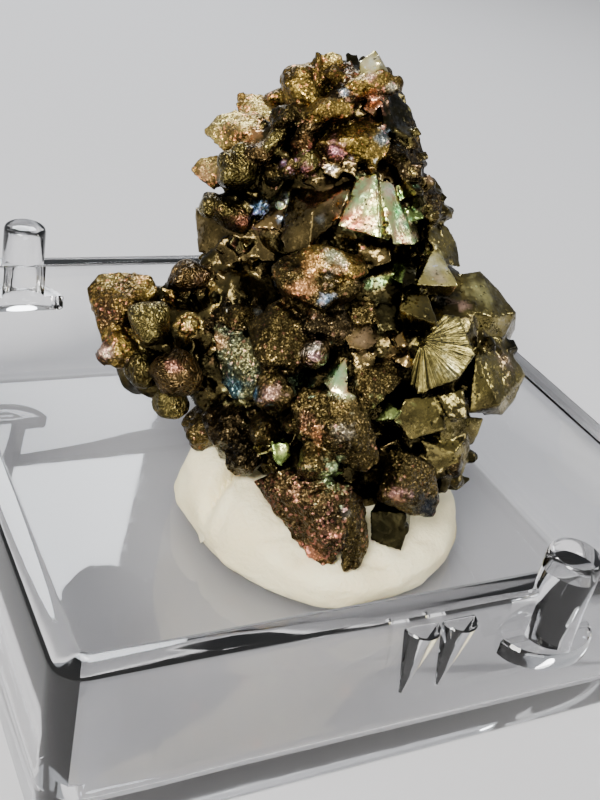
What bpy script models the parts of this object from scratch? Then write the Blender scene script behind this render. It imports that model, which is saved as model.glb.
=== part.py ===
"""Marcasite crystal group pressed into mounting putty on a clear, open box base.

Units are metres, +Z is up. The box base stands on Z = 0 and is centred on X = Y = 0,
with its front wall facing -Y.
"""

import math
import random

import bmesh
import bpy
from mathutils import Matrix, Vector, noise

MM = 0.001

# Driving dimensions of the box base, in millimetres
TRAY_WIDTH = 32.0
TRAY_FLOOR = 1.2
TRAY_RIM = 8.4
TRAY_WALL = 1.3
TRAY_CORNER = 0.9
POST_RADIUS = 1.2
POST_TOP = 10.3
SHELF_HALF_WIDTH = 2.4
SHELF_DEPTH = 1.5
SHELF_BOTTOM = 5.2
SHELF_TOP = 6.1
FRONT_POST_X = 5.2
BACK_POST_X = -9.4
RIB_RADIUS = 0.8
RIB_LENGTH = 3.6
RIB_X = (-1.6, 0.15)

# Driving dimensions of the putty, in millimetres
GAP = 0.3
TACK_CENTRE = (2.6, -1.7)
TACK_RADII = (7.3, 7.0, 6.6, 6.6, 7.5, 7.9, 7.3, 7.2, 7.4, 6.8, 6.6, 7.0)
TACK_HEIGHTS = (3.4, 3.6, 3.6, 3.8, 4.4, 4.6, 4.2, 3.6, 2.9, 2.5, 2.5, 2.9)
TACK_BELLY = 1.1
TACK_MIDDLE = 2.0
TACK_FULLNESS = 0.55
CREASE_FROM = (-3.9, -1.6)
CREASE_TO = (0.6, 1.9)
CREASE_DEPTH = 0.55
CREASE_WIDTH = 0.45

# The group is measured in millimetres in an upright picture: across to the right, up,
# and toward the viewer. The viewer stands at EYE and looks down and to the right.
EYE = Vector((-24.65, -41.0, 35.96))
LOOK_DOWN = math.radians(30.16)
LOOK_RIGHT = math.radians(31.71)
PICTURE_TILT = math.radians(12.37)
PICTURE_DISTANCE = 55.56
GROUP_FORWARD = 0.8
FOOT_LEVEL = 2.4

# Blocky inner mass that every crystal is rooted in: centre, radii
CORE = {
    "foot": ((1.6, -2.5, -2.6), (4.2, 3.4, 4.0)),
    "belly": ((3.3, 3.2, -2.4), (5.5, 5.2, 4.7)),
    "shoulder": ((1.9, 10.2, -0.3), (4.1, 4.4, 2.9)),
    "peak": ((2.6, 14.1, 0.9), (2.4, 2.5, 1.7)),
    "left_arm": ((-6.9, 3.0, -0.3), (2.8, 2.7, 1.7)),
    "arm_root": ((-3.4, 3.6, -0.8), (2.7, 4.3, 2.2)),
    "right_side": ((8.2, 2.0, -2.2), (2.2, 3.2, 2.1)),
    "lower_left": ((-2.1, -0.9, -1.3), (2.6, 2.6, 2.2)),
    "lower_right": ((6.0, -2.4, -1.6), (2.4, 2.4, 2.4)),
    "waist_left": ((-1.9, 9.3, -0.5), (2.1, 2.7, 1.5)),
    "waist_right": ((5.9, 8.6, -0.5), (1.3, 2.8, 1.4)),
    "top_left": ((-1.2, 12.0, 0.3), (1.7, 2.1, 1.3)),
}

# Flat-faced crystals: how far each is rooted back, then its corners (across, up, toward)
CRYSTALS = {
    "top_peak": (1.5, [(3.75, 17.55, 3.0), (2.95, 16.9, 3.2), (3.0, 16.0, 3.4), (3.8, 15.95, 3.7),
                       (4.4, 16.45, 2.4), (4.0, 17.0, 3.3), (4.45, 15.8, 2.6)]),
    "peak_back": (1.2, [(2.3, 17.35, 1.6), (2.9, 17.3, 1.6), (3.0, 16.2, 2.2), (2.3, 16.2, 2.2)]),
    "peak_left": (1.2, [(2.0, 16.9, 2.2), (2.5, 16.95, 2.2), (3.1, 16.3, 2.8), (2.5, 16.0, 3.0),
                        (1.9, 16.2, 2.6)]),
    "pink_plate": (1.5, [(3.1, 14.6, 3.2), (3.5, 15.2, 3.0), (4.05, 15.15, 3.1), (4.1, 14.85, 3.3),
                         (3.65, 14.2, 3.6)]),
    "dark_shoulder": (2.0, [(4.0, 15.1, 2.9), (5.0, 15.25, 1.7), (5.55, 14.5, 1.3), (5.9, 13.2, 1.4),
                            (5.2, 12.9, 2.6), (4.2, 13.7, 3.2)]),
    "gold_table": (1.8, [(0.8, 12.85, 3.2), (1.5, 13.5, 2.4), (3.55, 14.25, 2.6), (4.1, 13.55, 3.1),
                         (4.5, 13.05, 3.2), (3.25, 13.1, 3.8), (1.75, 12.85, 3.6), (3.9, 11.6, 2.9),
                         (3.1, 11.9, 2.7), (0.9, 12.4, 2.6)]),
    "brown_slab": (1.2, [(2.0, 12.5, 2.6), (2.9, 12.2, 2.8), (2.8, 11.1, 3.0), (1.9, 11.6, 2.8)]),
    "grey_chip": (0.8, [(1.0, 12.0, 2.7), (1.75, 11.9, 2.8), (2.3, 11.5, 2.9), (1.9, 11.0, 2.9),
                        (1.1, 11.3, 2.9)]),
    "back_block": (2.6, [(-3.2, 15.3, -2.2), (-1.9, 15.35, -2.4), (-1.4, 14.75, -1.6),
                         (-1.4, 13.6, -0.8), (-3.1, 13.8, -1.0)]),
    "bright_block": (2.5, [(-4.85, 13.45, -0.5), (-4.25, 14.25, -0.8), (-3.25, 14.5, -0.6),
                           (-1.9, 14.35, 0.2), (-1.5, 13.6, 0.7), (-1.9, 12.7, 1.2),
                           (-3.95, 12.55, 0.3), (-2.8, 13.5, 1.2)]),
    "left_spike": (2.0, [(-5.5, 11.55, -0.2), (-5.15, 12.0, -0.3), (-4.2, 12.3, 0.1), (-4.0, 11.3, 0.9),
                         (-4.35, 10.5, 0.3), (-5.0, 10.9, 0.1)]),
    "dark_block": (2.5, [(-5.25, 9.6, -1.0), (-4.6, 8.9, 0.0), (-5.1, 7.4, -0.6), (-3.75, 6.9, 0.5),
                         (-1.2, 6.9, 0.9), (-1.2, 8.3, 1.1), (-3.25, 8.6, 0.9)]),
    "blue_chip": (1.0, [(-2.5, 9.5, 1.2), (-1.95, 10.2, 1.1), (-1.85, 9.5, 1.3), (-2.2, 9.2, 1.4)]),
    "white_chip": (1.0, [(-1.2, 10.0, 1.8), (-0.6, 10.3, 1.6), (-0.8, 9.75, 2.0), (-1.1, 9.6, 1.9)]),
    "cream_pitted": (1.5, [(-2.4, 8.6, 1.8), (-1.5, 9.6, 1.5), (-0.8, 9.55, 1.8), (-0.9, 8.5, 2.2)]),
    "saddle": (2.0, [(-0.5, 10.45, 2.0), (1.0, 10.7, 2.2), (2.65, 11.0, 2.4), (2.7, 10.6, 2.8),
                     (1.75, 8.9, 3.2), (0.45, 7.6, 3.4), (-0.65, 7.25, 3.0), (-1.0, 8.1, 2.7),
                     (0.6, 9.4, 3.9)]),
    "saddle_ledge": (1.4, [(0.1, 10.9, 2.3), (1.2, 11.4, 2.3), (2.5, 11.2, 2.5), (1.2, 10.5, 2.7)]),
    "rainbow_left": (2.4, [(2.85, 11.2, 3.0), (3.8, 11.35, 3.5), (4.0, 8.1, 4.1), (1.9, 8.7, 3.5),
                           (2.7, 10.5, 3.1), (4.1, 11.2, 2.6), (4.5, 7.95, 3.2)]),
    "rainbow_right": (2.2, [(4.05, 11.0, 3.1), (4.6, 10.9, 2.9), (5.75, 7.75, 3.0), (4.65, 7.8, 3.8),
                            (5.2, 10.5, 1.6), (6.0, 8.0, 2.0)]),
    "rainbow_cap": (1.4, [(2.8, 11.6, 2.5), (3.6, 11.85, 2.6), (4.5, 11.6, 2.4), (4.8, 10.9, 2.6),
                          (3.6, 11.3, 3.2)]),
    "right_column_top": (1.8, [(5.0, 13.5, 2.5), (5.65, 14.0, 1.4), (5.95, 13.2, 1.2),
                               (6.4, 11.75, 1.2), (6.0, 11.0, 2.2), (5.0, 11.2, 2.8),
                               (4.6, 12.5, 3.0)]),
    "right_column_mid": (1.8, [(6.0, 11.5, 1.7), (6.8, 11.1, 1.0), (6.7, 9.3, 1.0), (5.9, 9.3, 2.3),
                               (5.5, 10.6, 2.6)]),
    "yellow_chip": (1.0, [(5.2, 14.45, 1.8), (5.5, 14.65, 1.5), (5.6, 14.4, 1.5), (5.25, 13.9, 2.0)]),
    "green_chip": (1.2, [(5.4, 9.6, 2.5), (6.0, 9.6, 2.2), (6.25, 9.1, 2.3), (5.6, 8.95, 2.7)]),
    "right_neck": (2.0, [(6.4, 8.9, 1.2), (7.35, 8.75, 0.3), (7.9, 7.75, 0.1), (8.05, 6.6, 0.4),
                         (7.25, 6.8, 1.5), (6.4, 8.0, 1.9)]),
    "yellow_table": (1.5, [(6.45, 7.2, 1.9), (6.95, 7.25, 1.7), (7.95, 5.7, 2.2), (5.85, 5.75, 2.9),
                           (6.75, 7.75, 1.3), (7.5, 5.2, 0.9), (6.2, 5.2, 1.4)]),
    "green_sliver": (1.0, [(4.55, 6.05, 2.6), (5.1, 6.8, 2.1), (5.25, 6.6, 2.3), (5.0, 5.8, 2.9)]),
    "dark_wedge_mid": (1.5, [(5.2, 6.75, 2.1), (5.9, 6.7, 2.1), (5.75, 5.7, 2.8), (5.1, 5.6, 2.9)]),
    "under_rainbow": (1.6, [(2.9, 7.9, 2.8), (4.4, 7.7, 2.9), (4.6, 6.9, 3.0), (3.4, 6.5, 3.1),
                            (2.8, 7.1, 3.0)]),
    "stepped": (2.0, [(4.9, 4.6, 3.2), (5.3, 5.35, 2.8), (6.4, 5.25, 2.7), (6.85, 3.8, 3.2),
                      (5.75, 4.2, 3.7), (6.8, 3.4, 2.7), (5.2, 3.5, 2.7)]),
    "large_right": (3.0, [(8.05, 6.35, -0.6), (9.0, 6.5, -1.5), (10.0, 5.5, -1.7),
                          (10.85, 4.35, -1.4), (8.3, 4.45, 0.9), (9.7, 4.15, 0.1),
                          (10.3, 3.25, -1.5), (9.3, 3.0, -0.8), (8.3, 3.8, 0.3)]),
    "fan": (2.5, [(6.45, 3.3, 3.3), (7.25, 4.35, 2.4), (8.0, 4.2, 1.8), (8.8, 2.25, 2.1),
                  (7.95, 1.05, 3.0), (5.9, 0.25, 3.2), (5.4, 0.85, 3.0), (5.75, 2.5, 3.4),
                  (6.25, 2.7, 3.8)]),
    "tan_chip": (2.4, [(4.65, 3.1, 3.5), (5.1, 3.45, 3.2), (5.45, 2.75, 3.5), (5.0, 2.45, 3.7)]),
    "tan_chip_low": (2.4, [(4.65, 2.0, 3.4), (5.5, 2.4, 3.4), (5.65, 1.65, 3.5), (5.3, 1.55, 3.6)]),
    "right_low": (3.0, [(9.0, 2.95, -0.5), (10.25, 3.05, -1.8), (11.3, 1.3, -2.0),
                        (10.75, -0.05, -1.6), (10.1, -0.8, -1.1), (8.5, -0.6, 0.6), (8.75, 2.1, 1.2),
                        (9.9, -0.3, 0.3)]),
    "bright_end": (1.6, [(6.85, 0.25, 2.8), (8.2, 0.6, 1.7), (8.35, -0.9, 2.0), (7.5, -1.0, 2.6)]),
    "green_wedge": (2.6, [(3.7, -1.05, 3.3), (4.4, -0.1, 3.0), (4.95, -0.55, 3.2), (4.6, -0.95, 3.5)]),
    "grain_block": (1.8, [(2.6, 1.5, 3.2), (3.6, 1.65, 3.5), (4.95, 1.75, 3.1), (5.0, 0.85, 3.3),
                          (3.55, -0.6, 3.7), (3.4, 0.3, 3.9), (2.7, 0.3, 3.5)]),
    "dark_mid_right": (2.0, [(5.25, 0.1, 2.8), (7.0, 0.3, 2.4), (7.3, -1.5, 2.0), (5.5, -2.0, 2.4),
                             (4.7, -1.0, 3.0)]),
    "left_plate": (1.8, [(-4.3, 3.6, 1.8), (-3.55, 4.1, 1.5), (-2.5, 3.0, 2.5), (-1.8, 1.7, 3.0),
                         (-2.0, 1.05, 3.1), (-2.25, 0.1, 2.6), (-3.3, -0.05, 2.1), (-3.85, 0.7, 1.8),
                         (-4.2, 2.2, 2.1)]),
    "green_pitted": (1.5, [(2.35, 2.25, 3.1), (1.05, 1.05, 3.3), (2.4, 0.15, 3.9), (1.5, 0.4, 3.8)]),
    "tan_block": (1.5, [(2.25, 3.0, 3.3), (2.75, 3.7, 2.9), (3.5, 3.75, 2.8), (3.95, 2.85, 3.3),
                        (3.3, 2.45, 3.6), (2.45, 2.6, 3.6)]),
    "brown_block": (1.5, [(2.5, 5.0, 2.6), (3.7, 5.0, 2.6), (3.95, 3.8, 2.7), (2.6, 3.6, 2.8)]),
    "low_block": (1.3, [(2.55, 2.4, 3.1), (3.9, 2.45, 3.1), (3.75, 1.6, 3.3), (2.7, 1.6, 3.3)]),
    "mid_dark": (1.6, [(3.9, 4.9, 2.4), (4.9, 4.8, 2.4), (4.8, 3.5, 2.9), (3.9, 3.4, 2.9)]),
    "centre_block": (2.5, [(-0.45, -0.15, 3.2), (0.0, 0.75, 3.0), (1.75, 0.25, 3.8), (2.5, 0.35, 3.7),
                           (3.45, -0.25, 3.5), (4.05, -3.05, 3.2), (3.25, -3.6, 3.0),
                           (1.35, -2.9, 3.3), (0.0, -1.5, 3.5), (-0.2, -2.0, 3.1),
                           (2.25, -1.7, 4.4)]),
    "low_sliver": (2.4, [(-2.15, -2.75, 2.4), (-1.5, -2.4, 2.6), (-1.6, -2.7, 2.7)]),
    "yellow_prism": (2.6, [(-1.4, -2.15, 2.6), (-0.5, -2.15, 2.5), (-0.4, -2.75, 2.5),
                           (-0.95, -3.4, 2.7), (-1.3, -3.0, 2.7)]),
    "green_low": (1.0, [(1.0, -3.95, 2.7), (1.65, -3.45, 2.6), (2.25, -3.6, 2.4), (1.3, -4.1, 2.6)]),
    "green_low_left": (1.2, [(-0.6, -3.5, 2.2), (0.25, -3.4, 2.4), (0.9, -4.15, 2.7),
                             (0.0, -4.3, 2.6)]),
    "arm_block": (2.0, [(-10.75, 5.6, 0.7), (-10.1, 6.35, 0.3), (-8.6, 6.45, 0.4), (-7.35, 6.25, 0.8),
                        (-7.1, 5.45, 1.2), (-7.5, 5.0, 1.6), (-9.9, 2.8, 1.0), (-10.25, 4.5, 1.2),
                        (-8.5, 5.0, 2.0)]),
    "arm_chip": (1.0, [(-6.85, 5.6, 1.2), (-6.4, 5.5, 1.2), (-6.3, 5.1, 1.4)]),
    "arm_chip_low": (1.2, [(-4.4, 5.85, 0.8), (-3.95, 5.9, 0.8), (-4.05, 4.75, 1.1),
                           (-4.35, 4.7, 1.2)]),
    "front_wedge": (2.6, [(-2.4, -4.0, 2.2), (-0.75, -3.45, 2.5), (2.5, -4.3, 3.4), (2.15, -7.5, 3.3),
                          (1.6, -8.2, 2.9), (0.95, -8.35, 2.6), (0.3, -7.6, 2.4), (-1.9, -4.8, 2.2),
                          (0.6, -5.5, 3.8)]),
    "front_wedge_right": (2.4, [(2.5, -4.4, 3.3), (3.1, -4.8, 2.5), (3.45, -7.3, 2.2),
                                (3.0, -8.5, 2.6), (2.2, -8.6, 2.9), (2.1, -7.6, 3.2)]),
    "front_right_block": (2.5, [(4.45, -2.45, 2.4), (5.5, -2.65, 2.6), (6.75, -3.3, 1.9),
                                (7.05, -5.15, 1.2), (6.65, -5.85, 1.0), (5.7, -5.9, 1.4),
                                (3.85, -5.0, 2.1), (4.9, -4.0, 3.3), (5.4, -5.1, 2.8)]),
    "right_foot": (2.0, [(6.0, -2.0, 1.5), (8.35, -1.75, 0.2), (8.55, -2.35, 0.0), (8.15, -3.7, -0.2),
                         (7.25, -4.0, 0.3), (6.5, -3.5, 1.1), (7.75, -2.6, 1.3)]),
    "right_foot_top": (2.0, [(7.0, -0.7, 1.6), (9.2, -0.9, -0.5), (8.7, -2.25, -0.5),
                             (7.0, -2.0, 1.3)]),
    "dark_wedge_low": (4.0, [(3.5, -5.6, 1.4), (5.25, -5.6, 1.0), (5.4, -6.5, 0.7), (5.05, -7.6, 0.7),
                             (3.5, -7.05, 1.1)]),
}

# Rounded crystals and nodules: centre, radii (across, up, toward), turn in degrees
NODULES = {
    "prong_left": ((0.95, 16.3, 2.3), (0.3, 0.85, 0.4), 4),
    "prong_right": ((1.65, 16.95, 2.3), (0.4, 0.42, 0.4), 0),
    "prong_foot": ((1.7, 16.2, 2.5), (0.5, 0.5, 0.5), 0),
    "top_mound": ((0.15, 15.6, 1.9), (1.15, 1.0, 1.0), -30),
    "back_bump": ((-0.95, 15.0, 0.7), (0.75, 0.5, 1.0), 0),
    "top_gold": ((3.7, 15.7, 2.9), (1.2, 0.6, 0.8), 6),
    "top_dark": ((2.2, 15.2, 2.8), (0.7, 0.6, 0.6), 20),
    "ridge_a": ((-0.45, 14.15, 2.3), (1.05, 0.55, 0.8), 12),
    "ridge_b": ((1.4, 14.4, 2.8), (1.15, 0.65, 0.8), 10),
    "ridge_c": ((0.6, 13.6, 2.6), (0.95, 0.42, 0.7), 22),
    "ridge_d": ((0.2, 12.75, 2.3), (0.62, 0.45, 0.9), 10),
    "ridge_e": ((0.45, 11.9, 2.7), (0.65, 0.65, 0.6), 0),
    "ridge_f": ((-0.4, 11.65, 2.2), (0.75, 0.5, 0.6), 15),
    "ridge_g": ((-1.3, 11.2, 1.4), (0.5, 0.45, 0.9), 0),
    "pink_knot": ((1.75, 12.4, 2.9), (0.45, 0.42, 0.4), 0),
    "ball_horn": ((-1.2, 13.0, 2.0), (1.0, 0.5, 0.7), 52),
    "ball_horn_low": ((-1.9, 12.35, 1.7), (0.9, 0.6, 0.8), 25),
    "ball_upper": ((-3.15, 11.5, 1.3), (1.12, 1.12, 1.1), 0),
    "ball_cap": ((-2.8, 12.3, 1.2), (0.9, 0.6, 0.8), 20),
    "ball_lens": ((-3.6, 9.35, 1.1), (1.45, 0.75, 0.9), -25),
    "ball_lens_end": ((-4.35, 9.7, 1.0), (0.75, 0.75, 0.8), 0),
    "double_upper": ((1.5, 6.75, 3.5), (1.5, 0.85, 0.9), -10),
    "double_lower": ((0.35, 5.85, 3.3), (1.65, 1.15, 1.0), -22),
    "double_right": ((1.95, 5.45, 3.3), (1.1, 0.6, 0.7), 12),
    "big_lump": ((-1.05, 2.9, 2.8), (1.42, 1.62, 1.2), 0),
    "plate_back": ((-2.9, 4.0, 1.6), (0.95, 0.7, 0.8), 10),
    "small_ball": ((0.75, 2.3, 3.5), (0.78, 0.78, 0.7), 0),
    "dark_lump_a": ((0.7, 3.8, 3.0), (0.9, 0.8, 0.7), 0),
    "dark_lump_b": ((1.85, 3.6, 2.8), (0.8, 0.95, 0.7), 0),
    "low_left_ball": ((-1.35, 0.4, 3.3), (0.98, 0.85, 0.8), 5),
    "centre_knob": ((0.9, -3.1, 3.0), (0.9, 0.85, 0.8), 0),
    "low_lump_a": ((-1.8, -1.45, 1.6), (0.62, 0.78, 1.6), 0),
    "low_lump_b": ((-0.35, -1.2, 2.8), (0.5, 0.45, 0.5), 0),
    "arm_ball": ((-7.5, 3.9, 2.2), (1.15, 1.15, 1.05), 0),
    "arm_knob": ((-9.6, 2.4, 1.2), (0.5, 0.6, 0.5), -30),
    "arm_knob_root": ((-8.95, 2.5, 1.2), (0.75, 0.85, 0.7), 0),
    "arm_fold": ((-6.25, 1.35, 2.0), (1.25, 1.25, 1.05), 0),
    "arm_under": ((-7.95, 1.5, 1.3), (0.9, 1.0, 0.8), 25),
    "arm_tip": ((-6.5, -0.1, 1.2), (0.95, 1.05, 0.8), 25),
    "arm_shoulder": ((-5.55, 6.2, 0.4), (1.12, 0.88, 0.95), 0),
    "arm_bead": ((-5.55, 3.75, 1.4), (0.45, 0.4, 0.4), 0),
    "brown_lump": ((-4.9, -1.35, -1.3), (0.9, 1.05, 0.9), 10),
    "low_dark_a": ((-3.5, -1.4, 0.4), (1.25, 1.15, 1.1), 0),
    "low_dark_b": ((-2.85, -2.7, 0.7), (0.95, 0.9, 0.9), 0),
}

# Parts of the core too slender to carry chance growth on their hidden side
SLENDER_CORES = ("left_arm", "arm_root", "lower_left", "waist_left", "waist_right", "top_left")

# Chance growth that fills the hidden sides and the gaps between the named crystals
GROWTH_SEED = 41
BACK_CRYSTALS = 48
BACK_SIZE = (0.75, 1.45)
FILL_CRYSTALS = 20
FILL_SIZE = (0.35, 0.65)

# The fusing starts from a lump this much smaller than the belly of the core
HEART_SHARE = 0.6

# Nodules wider than this, in millimetres, are drawn with finer faces
ROUND_ABOVE = 1.3

# The fused group is thinned out to about this many triangles
GROUP_TRIANGLES = 7400


def picture_axes():
    """Right, up and forward directions of the picture that the group is measured in."""
    forward = Vector((math.sin(LOOK_RIGHT) * math.cos(LOOK_DOWN),
                      math.cos(LOOK_RIGHT) * math.cos(LOOK_DOWN),
                      -math.sin(LOOK_DOWN)))
    level = Vector((math.cos(LOOK_RIGHT), -math.sin(LOOK_RIGHT), 0.0))
    upright = level.cross(forward)
    right = level * math.cos(PICTURE_TILT) + upright * math.sin(PICTURE_TILT)
    up = upright * math.cos(PICTURE_TILT) - level * math.sin(PICTURE_TILT)
    return right, up, forward


RIGHT, UP, FORWARD = picture_axes()


def seen(across, up, toward):
    """The point, in metres, that shows at this place in the picture."""
    depth = PICTURE_DISTANCE - toward - GROUP_FORWARD
    ray = FORWARD + RIGHT * (across / PICTURE_DISTANCE) + UP * (up / PICTURE_DISTANCE)
    return (EYE + ray * depth) * MM


def lift(point, grow=0.0):
    """Keep a point of the group above the level that its foot is cut to."""
    point.z = max(point.z, (FOOT_LEVEL - grow) * MM)
    return point


def new_collection(name):
    collection = bpy.data.collections.new(name)
    bpy.context.scene.collection.children.link(collection)
    return collection


def new_object(name, bm, collection):
    """An object from a bmesh, with its faces pointing out."""
    bmesh.ops.recalc_face_normals(bm, faces=bm.faces)
    mesh = bpy.data.meshes.new(name)
    bm.to_mesh(mesh)
    bm.free()
    obj = bpy.data.objects.new(name, mesh)
    collection.objects.link(obj)
    return obj


def as_cutter(obj):
    obj.hide_render = True
    obj.display_type = "WIRE"
    return obj


def hull_of(points):
    """The closed convex solid around some points."""
    bm = bmesh.new()
    for point in points:
        bm.verts.new(point)
    result = bmesh.ops.convex_hull(bm, input=bm.verts)
    loose = set(result["geom_interior"]) | set(result["geom_unused"])
    bmesh.ops.delete(bm, geom=[g for g in loose if isinstance(g, bmesh.types.BMVert)], context="VERTS")
    bmesh.ops.remove_doubles(bm, verts=bm.verts, dist=0.00001)
    return bm


def crystal(root, corners, grow=0.0):
    """A crystal from its visible corners, narrowing to a root further back."""
    front = [Vector(c) for c in corners]
    middle = sum(front, Vector()) / len(front)
    heart = min((Vector(c) for c, _ in CORE.values()), key=lambda c: (c - middle).length)
    inward = ((heart - middle).normalized() + Vector((0.0, 0.0, -1.0))).normalized() * root
    rooted = [middle + (c - middle) * 0.6 + inward for c in front[::2]]
    points = [seen(*c) for c in front + rooted]
    centre = sum(points, Vector()) / len(points)
    if grow:
        points = [p + (p - centre).normalized() * grow * MM for p in points]
    return hull_of([lift(p, grow) for p in points])


def nodule(centre, radii, turn, detail=2, rough=0.09, grow=0.0):
    """A rounded lump: an icosphere stretched, turned in the picture and roughened."""
    bm = bmesh.new()
    bmesh.ops.create_icosphere(bm, subdivisions=detail, radius=1.0)
    spin = Matrix.Rotation(math.radians(turn), 3, "Z")
    middle = seen(*centre)
    shift = Vector(centre) * 3.0
    for vert in bm.verts:
        swell = 1.0 + rough * noise.noise(vert.co * 1.6 + shift) * 2.0
        flat = spin @ Vector((vert.co.x * (radii[0] * swell + grow),
                              vert.co.y * (radii[1] * swell + grow),
                              vert.co.z * (radii[2] * swell + grow)))
        place = middle + (RIGHT * flat.x + UP * flat.y - FORWARD * flat.z) * MM
        vert.co = lift(place, grow)
    return bm


def grown_block(middle, outward, size, rng, grow=0.0):
    """A blunt, four-sided crystal that stands out from the mass."""
    aim = outward.to_track_quat("Z", "Y").to_matrix()
    spin = Matrix.Rotation(rng.uniform(0.0, math.pi), 3, "Z")
    wide = size * rng.uniform(0.8, 1.2)
    narrow = size * rng.uniform(0.6, 1.0)
    taper = rng.uniform(0.15, 0.6)
    reach = size * rng.uniform(0.7, 1.1)
    lean = Vector((rng.uniform(-0.3, 0.3), rng.uniform(-0.3, 0.3), 0.0)) * size
    points = []
    for x, y in ((-1, -1), (1, -1), (1, 1), (-1, 1)):
        points.append(Vector((x * wide * 0.5, y * narrow * 0.5, -size)))
        points.append(Vector((x * wide * 0.62, y * narrow * 0.62, 0.1 * reach)))
        points.append(Vector((x * wide * 0.5 * taper, y * narrow * 0.5, reach)) + lean)
    if grow:
        points = [p + p.normalized() * grow for p in points]
    return hull_of([lift(middle + aim @ spin @ p * MM, grow) for p in points])


def chance_growth(grow=0.0):
    """Seeded crystals on the hidden sides of the core, and small ones in the gaps in front."""
    rng = random.Random(GROWTH_SEED)
    names = [n for n in CORE if n not in SLENDER_CORES]
    blocks = []
    for count, sizes, hidden in ((BACK_CRYSTALS, BACK_SIZE, True), (FILL_CRYSTALS, FILL_SIZE, False)):
        made = 0
        while made < count:
            centre, radii = CORE[rng.choice(names if hidden else list(CORE))]
            way = Vector((rng.gauss(0, 1), rng.gauss(0, 1), rng.gauss(0, 1))).normalized()
            if (way.z > -0.15) == hidden:
                continue
            sunk = 0.86 if hidden else 0.96
            spot = Vector(centre) + Vector((way.x * radii[0], way.y * radii[1], way.z * radii[2])) * sunk
            outward = RIGHT * way.x / radii[0] + UP * way.y / radii[1] - FORWARD * way.z / radii[2]
            size = rng.uniform(*sizes)
            blocks.append(grown_block(seen(*spot), outward.normalized(), size, rng, grow))
            made += 1
    return blocks


def group_shapes(collection, grow=0.0):
    """Every shape that the crystal group is fused from, as objects in the collection."""
    shapes = []
    for name, (centre, radii) in CORE.items():
        shapes.append((name, nodule(centre, radii, 0, detail=2, rough=0.14, grow=grow)))
    for name, (root, corners) in CRYSTALS.items():
        shapes.append((name, crystal(root, corners, grow)))
    for name, (centre, radii, turn) in NODULES.items():
        detail = 3 if max(radii) > ROUND_ABOVE else 2
        shapes.append((name, nodule(centre, radii, turn, detail, grow=grow)))
    for index, block in enumerate(chance_growth(grow)):
        shapes.append(("growth_%03d" % index, block))
    return [as_cutter(new_object("shape_" + name, bm, collection)) for name, bm in shapes]


def boolean(obj, operation, collection=None, other=None):
    modifier = obj.modifiers.new("join" if operation == "UNION" else "cut", "BOOLEAN")
    modifier.operation = operation
    modifier.solver = "EXACT"
    if collection:
        modifier.operand_type = "COLLECTION"
        modifier.collection = collection
    else:
        modifier.object = other
    return modifier


def settle(obj, tidy_angle=0.0):
    """Turn an object's modifiers into mesh and keep only its one outer skin."""
    graph = bpy.context.evaluated_depsgraph_get()
    bm = bmesh.new()
    bm.from_mesh(obj.evaluated_get(graph).to_mesh())
    obj.evaluated_get(graph).to_mesh_clear()
    obj.modifiers.clear()
    if tidy_angle:
        bmesh.ops.dissolve_limit(bm, angle_limit=tidy_angle, verts=bm.verts, edges=bm.edges)
    bmesh.ops.triangulate(bm, faces=bm.faces)
    skins = []
    waiting = set(bm.faces)
    while waiting:
        front = [waiting.pop()]
        skin = set(front)
        while front:
            face = front.pop()
            for edge in face.edges:
                for near in edge.link_faces:
                    if near in waiting:
                        waiting.remove(near)
                        skin.add(near)
                        front.append(near)
        skins.append(skin)
    outer = max(skins, key=len)
    spare = [f for skin in skins if skin is not outer for f in skin]
    bmesh.ops.delete(bm, geom=spare, context="FACES")
    bmesh.ops.delete(bm, geom=[v for v in bm.verts if not v.link_faces], context="VERTS")
    bm.to_mesh(obj.data)
    bm.free()


def thin_out(obj, triangles):
    """Collapse the shortest, flattest edges until about this many triangles are left."""
    modifier = obj.modifiers.new("thin_out", "DECIMATE")
    modifier.decimate_type = "COLLAPSE"
    modifier.use_collapse_triangulate = True
    modifier.ratio = min(1.0, triangles / len(obj.data.polygons))
    settle(obj)


def material(name, colour, roughness, metallic=0.0, transmission=0.0):
    made = bpy.data.materials.new(name)
    made.use_nodes = True
    shader = made.node_tree.nodes["Principled BSDF"]
    shader.inputs["Base Color"].default_value = (*colour, 1.0)
    shader.inputs["Roughness"].default_value = roughness
    shader.inputs["Metallic"].default_value = metallic
    shader.inputs["Transmission Weight"].default_value = transmission
    made.diffuse_color = (*colour, 1.0)
    return made


def make_marcasite(parts):
    """The crystal group, fused into one solid."""
    shapes = new_collection("marcasite shapes")
    group_shapes(shapes)
    centre, radii = CORE["belly"]
    bm = nodule(centre, [r * HEART_SHARE for r in radii], 0)
    obj = new_object("marcasite", bm, parts)
    boolean(obj, "UNION", shapes)
    settle(obj, math.radians(1.0))
    thin_out(obj, GROUP_TRIANGLES)
    obj.data.materials.append(material("bronze_metal", (0.22, 0.17, 0.08), 0.36, metallic=1.0))
    return obj


def around(values, angle):
    """A smooth value at an angle, from values at even steps round the circle."""
    place = (angle / (2.0 * math.pi)) % 1.0 * len(values)
    low = int(place)
    blend = (1.0 - math.cos((place - low) * math.pi)) / 2.0
    return values[low % len(values)] * (1.0 - blend) + values[(low + 1) % len(values)] * blend


def crease_share(x, y):
    """How much of the crease's depth is taken off the putty's skin at this place, 0 to 1."""
    place = Vector((x + TACK_CENTRE[0], y + TACK_CENTRE[1]))
    start = Vector(CREASE_FROM)
    run = Vector(CREASE_TO) - start
    along = max(0.0, min(1.0, (place - start).dot(run) / run.length_squared))
    off = (place - start - run * along).length
    return math.exp(-(off / CREASE_WIDTH) ** 2)


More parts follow.
